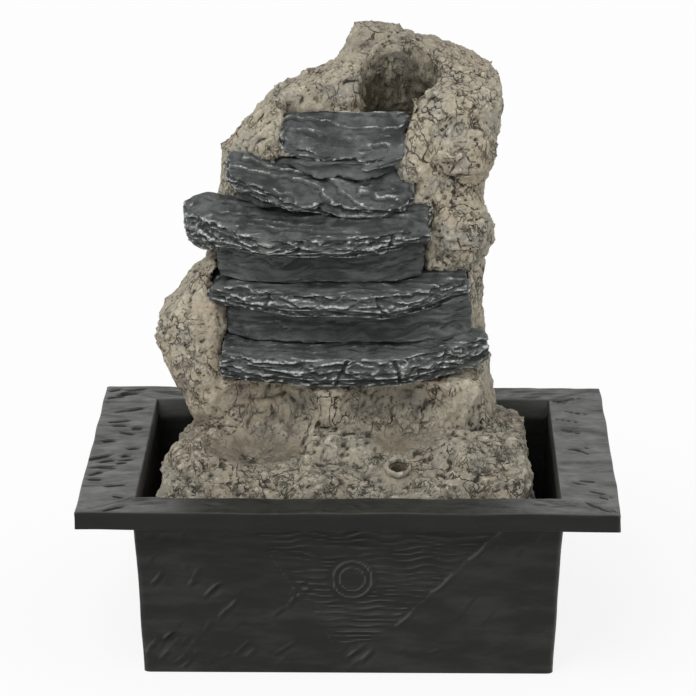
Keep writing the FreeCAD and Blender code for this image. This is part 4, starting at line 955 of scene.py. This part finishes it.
def rimRelief(points, shape, chance):
    x, y = points[:, 0], points[:, 1]
    relief = 0.34 * noiseAt(points * np.array((0.6, 0.6, 1.0)), 7.0, 51.0)
    relief += 0.16 * noiseAt(points, 3.0, 52.0)
    notches = []
    slashes = []
    boardX, boardY, half = shape["boards"]
    for side, count, angles in shape["slashes"]:
        middle = boardX * side
        slashes += strokesIn(chance, count, middle - half, middle + half, -80, 80, angles, (5, 12), 0.8)
        middle = boardY * side
        notches += strokesIn(chance, 22, -84, 84, middle - half, middle + half, (-25, 25), (6, 16), 0.5)
    bend = 1.6 * noiseAt(points, 9.0, 53.0)
    u, v = x + bend, y + 1.5 * bend
    relief += carve(u, v, notches, 0.8) + carve(u, v, slashes, 1.1)
    joint = 0.3 * np.exp(-((pastMitre(x, y, shape) / 0.5) ** 2))
    relief -= joint * ramp(np.abs(y), 66.0, 67.5) * ramp(np.abs(x), 82.3, 84.0)
    return relief, darkened(u, v, slashes, 1.35)


def tubMesh(shape):
    bm = bmesh.new()
    profile = shape["profile"]
    turned = Matrix.Rotation(math.radians(45.0), 4, "Z")
    bmesh.ops.create_circle(bm, cap_ends=False, segments=4, radius=math.sqrt(2.0), matrix=turned)
    middles = {edge: edge.verts[0].co + edge.verts[1].co for edge in bm.edges}
    sides = sorted(bm.edges, key=lambda edge: math.atan2(middles[edge].y, middles[edge].x))
    for edge, cuts in zip(sides, shape["columns"]):
        bmesh.ops.subdivide_edges(bm, edges=[edge], cuts=cuts - 1)
    bmesh.ops.scale(bm, vec=(profile[0][0] * mm, profile[0][1] * mm, 1.0), verts=bm.verts)
    first = bm.edges[:]
    loop = first
    was = profile[0]
    for target in profile[1:]:
        rows = target[3]
        for row in range(1, rows + 1):
            now = [a + (b - a) * row / rows for a, b in zip(was[:3], target[:3])]
            before = [a + (b - a) * (row - 1) / rows for a, b in zip(was[:3], target[:3])]
            made = bmesh.ops.extrude_edge_only(bm, edges=loop)["geom"]
            verts = [part for part in made if isinstance(part, bmesh.types.BMVert)]
            loop = [part for part in made if isinstance(part, bmesh.types.BMEdge)]
            loop = [edge for edge in loop if edge.is_boundary]
            bmesh.ops.scale(bm, vec=(now[0] / before[0], now[1] / before[1], 1.0), verts=verts)
            bmesh.ops.translate(bm, vec=(0.0, 0.0, (now[2] - before[2]) * mm), verts=verts)
        was = target
    bmesh.ops.edgeloop_fill(bm, edges=loop)
    bmesh.ops.edgeloop_fill(bm, edges=first)
    bmesh.ops.recalc_face_normals(bm, faces=bm.faces)
    return linkPiece("tubBasin", bm)


def makeTub(shape):
    tub = tubMesh(shape)
    points, outward, edges = readStone(tub)
    x, y, z = points.T
    foot, top = shape["profile"][:2]
    outerX = foot[0] + (top[0] - foot[0]) * z / top[2]
    outerY = foot[1] + (top[1] - foot[1]) * z / top[2]
    reachX, reachY = shape["wallReach"]
    wall = (np.abs(x) > outerX - 0.6) | (np.abs(y) > outerY - 0.6)
    wall &= (z < top[2] - 0.1) & (np.abs(x) < reachX) & (np.abs(y) < reachY)
    bend = shape["corner"]
    overX, overY = np.abs(x) - (outerX - bend), np.abs(y) - (outerY - bend)
    inCorner = wall & (overX > 0) & (overY > 0)
    longer = np.maximum(overX, overY)
    shrink = np.where(inCorner, longer / np.maximum(np.hypot(overX, overY), 1e-6), 1.0)
    points[:, 0] = np.where(inCorner, np.sign(x) * (outerX - bend + overX * shrink), x)
    points[:, 1] = np.where(inCorner, np.sign(y) * (outerY - bend + overY * shrink), y)
    chance = random.Random(shape["seed"])
    x, y, z = points.T
    push = np.zeros(len(points))
    front = wall & (outward[:, 1] < -0.7)
    push[front] = frontRelief(points[front], shape, chance)
    for axis, sign in ((0, -1), (0, 1), (1, 1)):
        side = wall & (outward[:, axis] * sign > 0.7)
        push[side] = sideRelief(points[side, 1 - axis] * sign, z[side], points[side], shape, chance)
    push *= np.where(wall, ramp(z, 0.0, 1.5) * ramp(top[2] - z, 0.0, 1.5), 1.0)
    rim = (z > shape["rimLevel"]) & (outward[:, 2] > 0.6)
    notch = np.zeros(len(points))
    push[rim], notch[rim] = rimRelief(points[rim], shape, chance)
    edgeX, edgeY = shape["rimEdge"]
    push[rim] *= (ramp(edgeX - np.abs(x), 0.0, 1.2) * ramp(edgeY - np.abs(y), 0.0, 1.2))[rim]
    lipX, lipY, lipZ = shape["lipFrom"]
    lip = (z > lipZ) & ((np.abs(x) > lipX) | (np.abs(y) > lipY)) & ~rim
    push[lip] = 0.3 * noiseAt(points[lip] * np.array((0.35, 0.35, 2.2)), 8.0, 61.0) - 0.15
    points = points + outward * push[:, None]
    size, reach, seed = shape["sway"]
    sway = reach * noiseAt(points * np.array((1.0, 1.0, 0.3)), size, seed)
    points[:, 2] += sway * ramp(z, 64.0, 66.0)
    points[:, 0] += np.sign(x) * sway * ramp(np.abs(x), 92.0, 104.0)
    writeStone(tub, points)
    points, outward, edges = readStone(tub)
    storeValue(tub, "wear", -depthBelow(points, outward, edges, 3) / np.where(lip, 0.7, 0.25))
    sideBoard = ramp(pastMitre(x, y, shape), -1.5, 1.5)
    nearCorner = ramp(np.abs(x) + 8.0 * noiseAt(points, 15.0, 62.0), 34.0, 96.0)
    frontBoard = 0.08 + 0.8 * nearCorner
    storeValue(tub, "board", np.where(rim, frontBoard + (1.04 - frontBoard) * sideBoard, 0.0))
    # the inside of the tub is darkened together with the lip as painted shade
    insideX, insideY, insideZ = shape["inside"]
    inside = (z < insideZ) & (np.abs(x) < insideX) & (np.abs(y) < insideY) & ~wall
    storeValue(tub, "lip", (lip | inside).astype(float))
    storeValue(tub, "notch", notch)
    dress(tub, tubPaint(tubFinish), "basin", "tub_plastic", "tub")
    return tub


tub = makeTub(tubShape)
print("tub:", len(tub.data.vertices), "points")


# pump, pipe and lamp keep their CAD meshes and get their own finishes

smallFinishes = {
    # slot: colour, second colour, roughness, grain scale, bump, metallic, transmission
    "pump_plastic": ((0.016, 0.017, 0.018), (0.030, 0.031, 0.033), 0.42, 900.0, 0.25, 0.0, 0.0),
    "dial_plastic": ((0.020, 0.075, 0.16), (0.030, 0.10, 0.20), 0.38, 900.0, 0.2, 0.0, 0.0),
    "soft_rubber": ((0.024, 0.024, 0.024), (0.045, 0.044, 0.043), 0.72, 700.0, 0.3, 0.0, 0.0),
    "clear_vinyl": ((0.72, 0.74, 0.72), (0.80, 0.82, 0.80), 0.16, 300.0, 0.1, 0.0, 0.85),
    "spout_plastic": ((0.018, 0.018, 0.018), (0.034, 0.034, 0.033), 0.45, 900.0, 0.25, 0.0, 0.0),
    "lamp_shell": ((0.022, 0.022, 0.022), (0.040, 0.040, 0.039), 0.5, 900.0, 0.25, 0.0, 0.0),
    "lamp_glass": ((0.80, 0.80, 0.74), (0.88, 0.88, 0.84), 0.12, 400.0, 0.1, 0.0, 0.8),
    "core_steel": ((0.26, 0.26, 0.27), (0.36, 0.36, 0.37), 0.4, 1500.0, 0.2, 0.9, 0.0),
    "coil_copper": ((0.45, 0.19, 0.08), (0.55, 0.26, 0.12), 0.35, 1200.0, 0.4, 0.8, 0.0),
    "potting_resin": ((0.010, 0.010, 0.010), (0.020, 0.020, 0.020), 0.25, 200.0, 0.2, 0.0, 0.0),
    "magnet_ferrite": ((0.050, 0.049, 0.048), (0.085, 0.083, 0.080), 0.55, 1100.0, 0.3, 0.0, 0.0),
    "shaft_ceramic": ((0.72, 0.71, 0.68), (0.78, 0.77, 0.75), 0.22, 1300.0, 0.1, 0.0, 0.0),
}


def smallPaint(slot, finish):
    first, second, roughness, scale, rise, metallic, transmission = finish
    settings = {"Metallic": metallic, "Transmission Weight": transmission}
    material, tree, place = startPaint(slot, settings)
    cloud = noiseOf(tree, place, 160.0, 4.0)
    colour = mixOf(tree, rampOf(tree, cloud, 0.35, 0.65), (*first, 1.0), (*second, 1.0))
    grain = noiseOf(tree, place, scale, 4.0)
    rough = rampOf(tree, grain, 0.3, 0.7, roughness - 0.07, roughness + 0.07)
    endPaint(tree, colour, rough, grain, rise, 0.2)
    return material


smallPaints = {slot: smallPaint(slot, finish) for slot, finish in smallFinishes.items()}
for part in frame["record"]["subparts"]:
    if part["material_slot"] in smallPaints:
        node = frame["nodes"][part["node"]]
        node.data.materials.clear()
        node.data.materials.append(smallPaints[part["material_slot"]])
print("small parts:", len(smallPaints), "finishes")
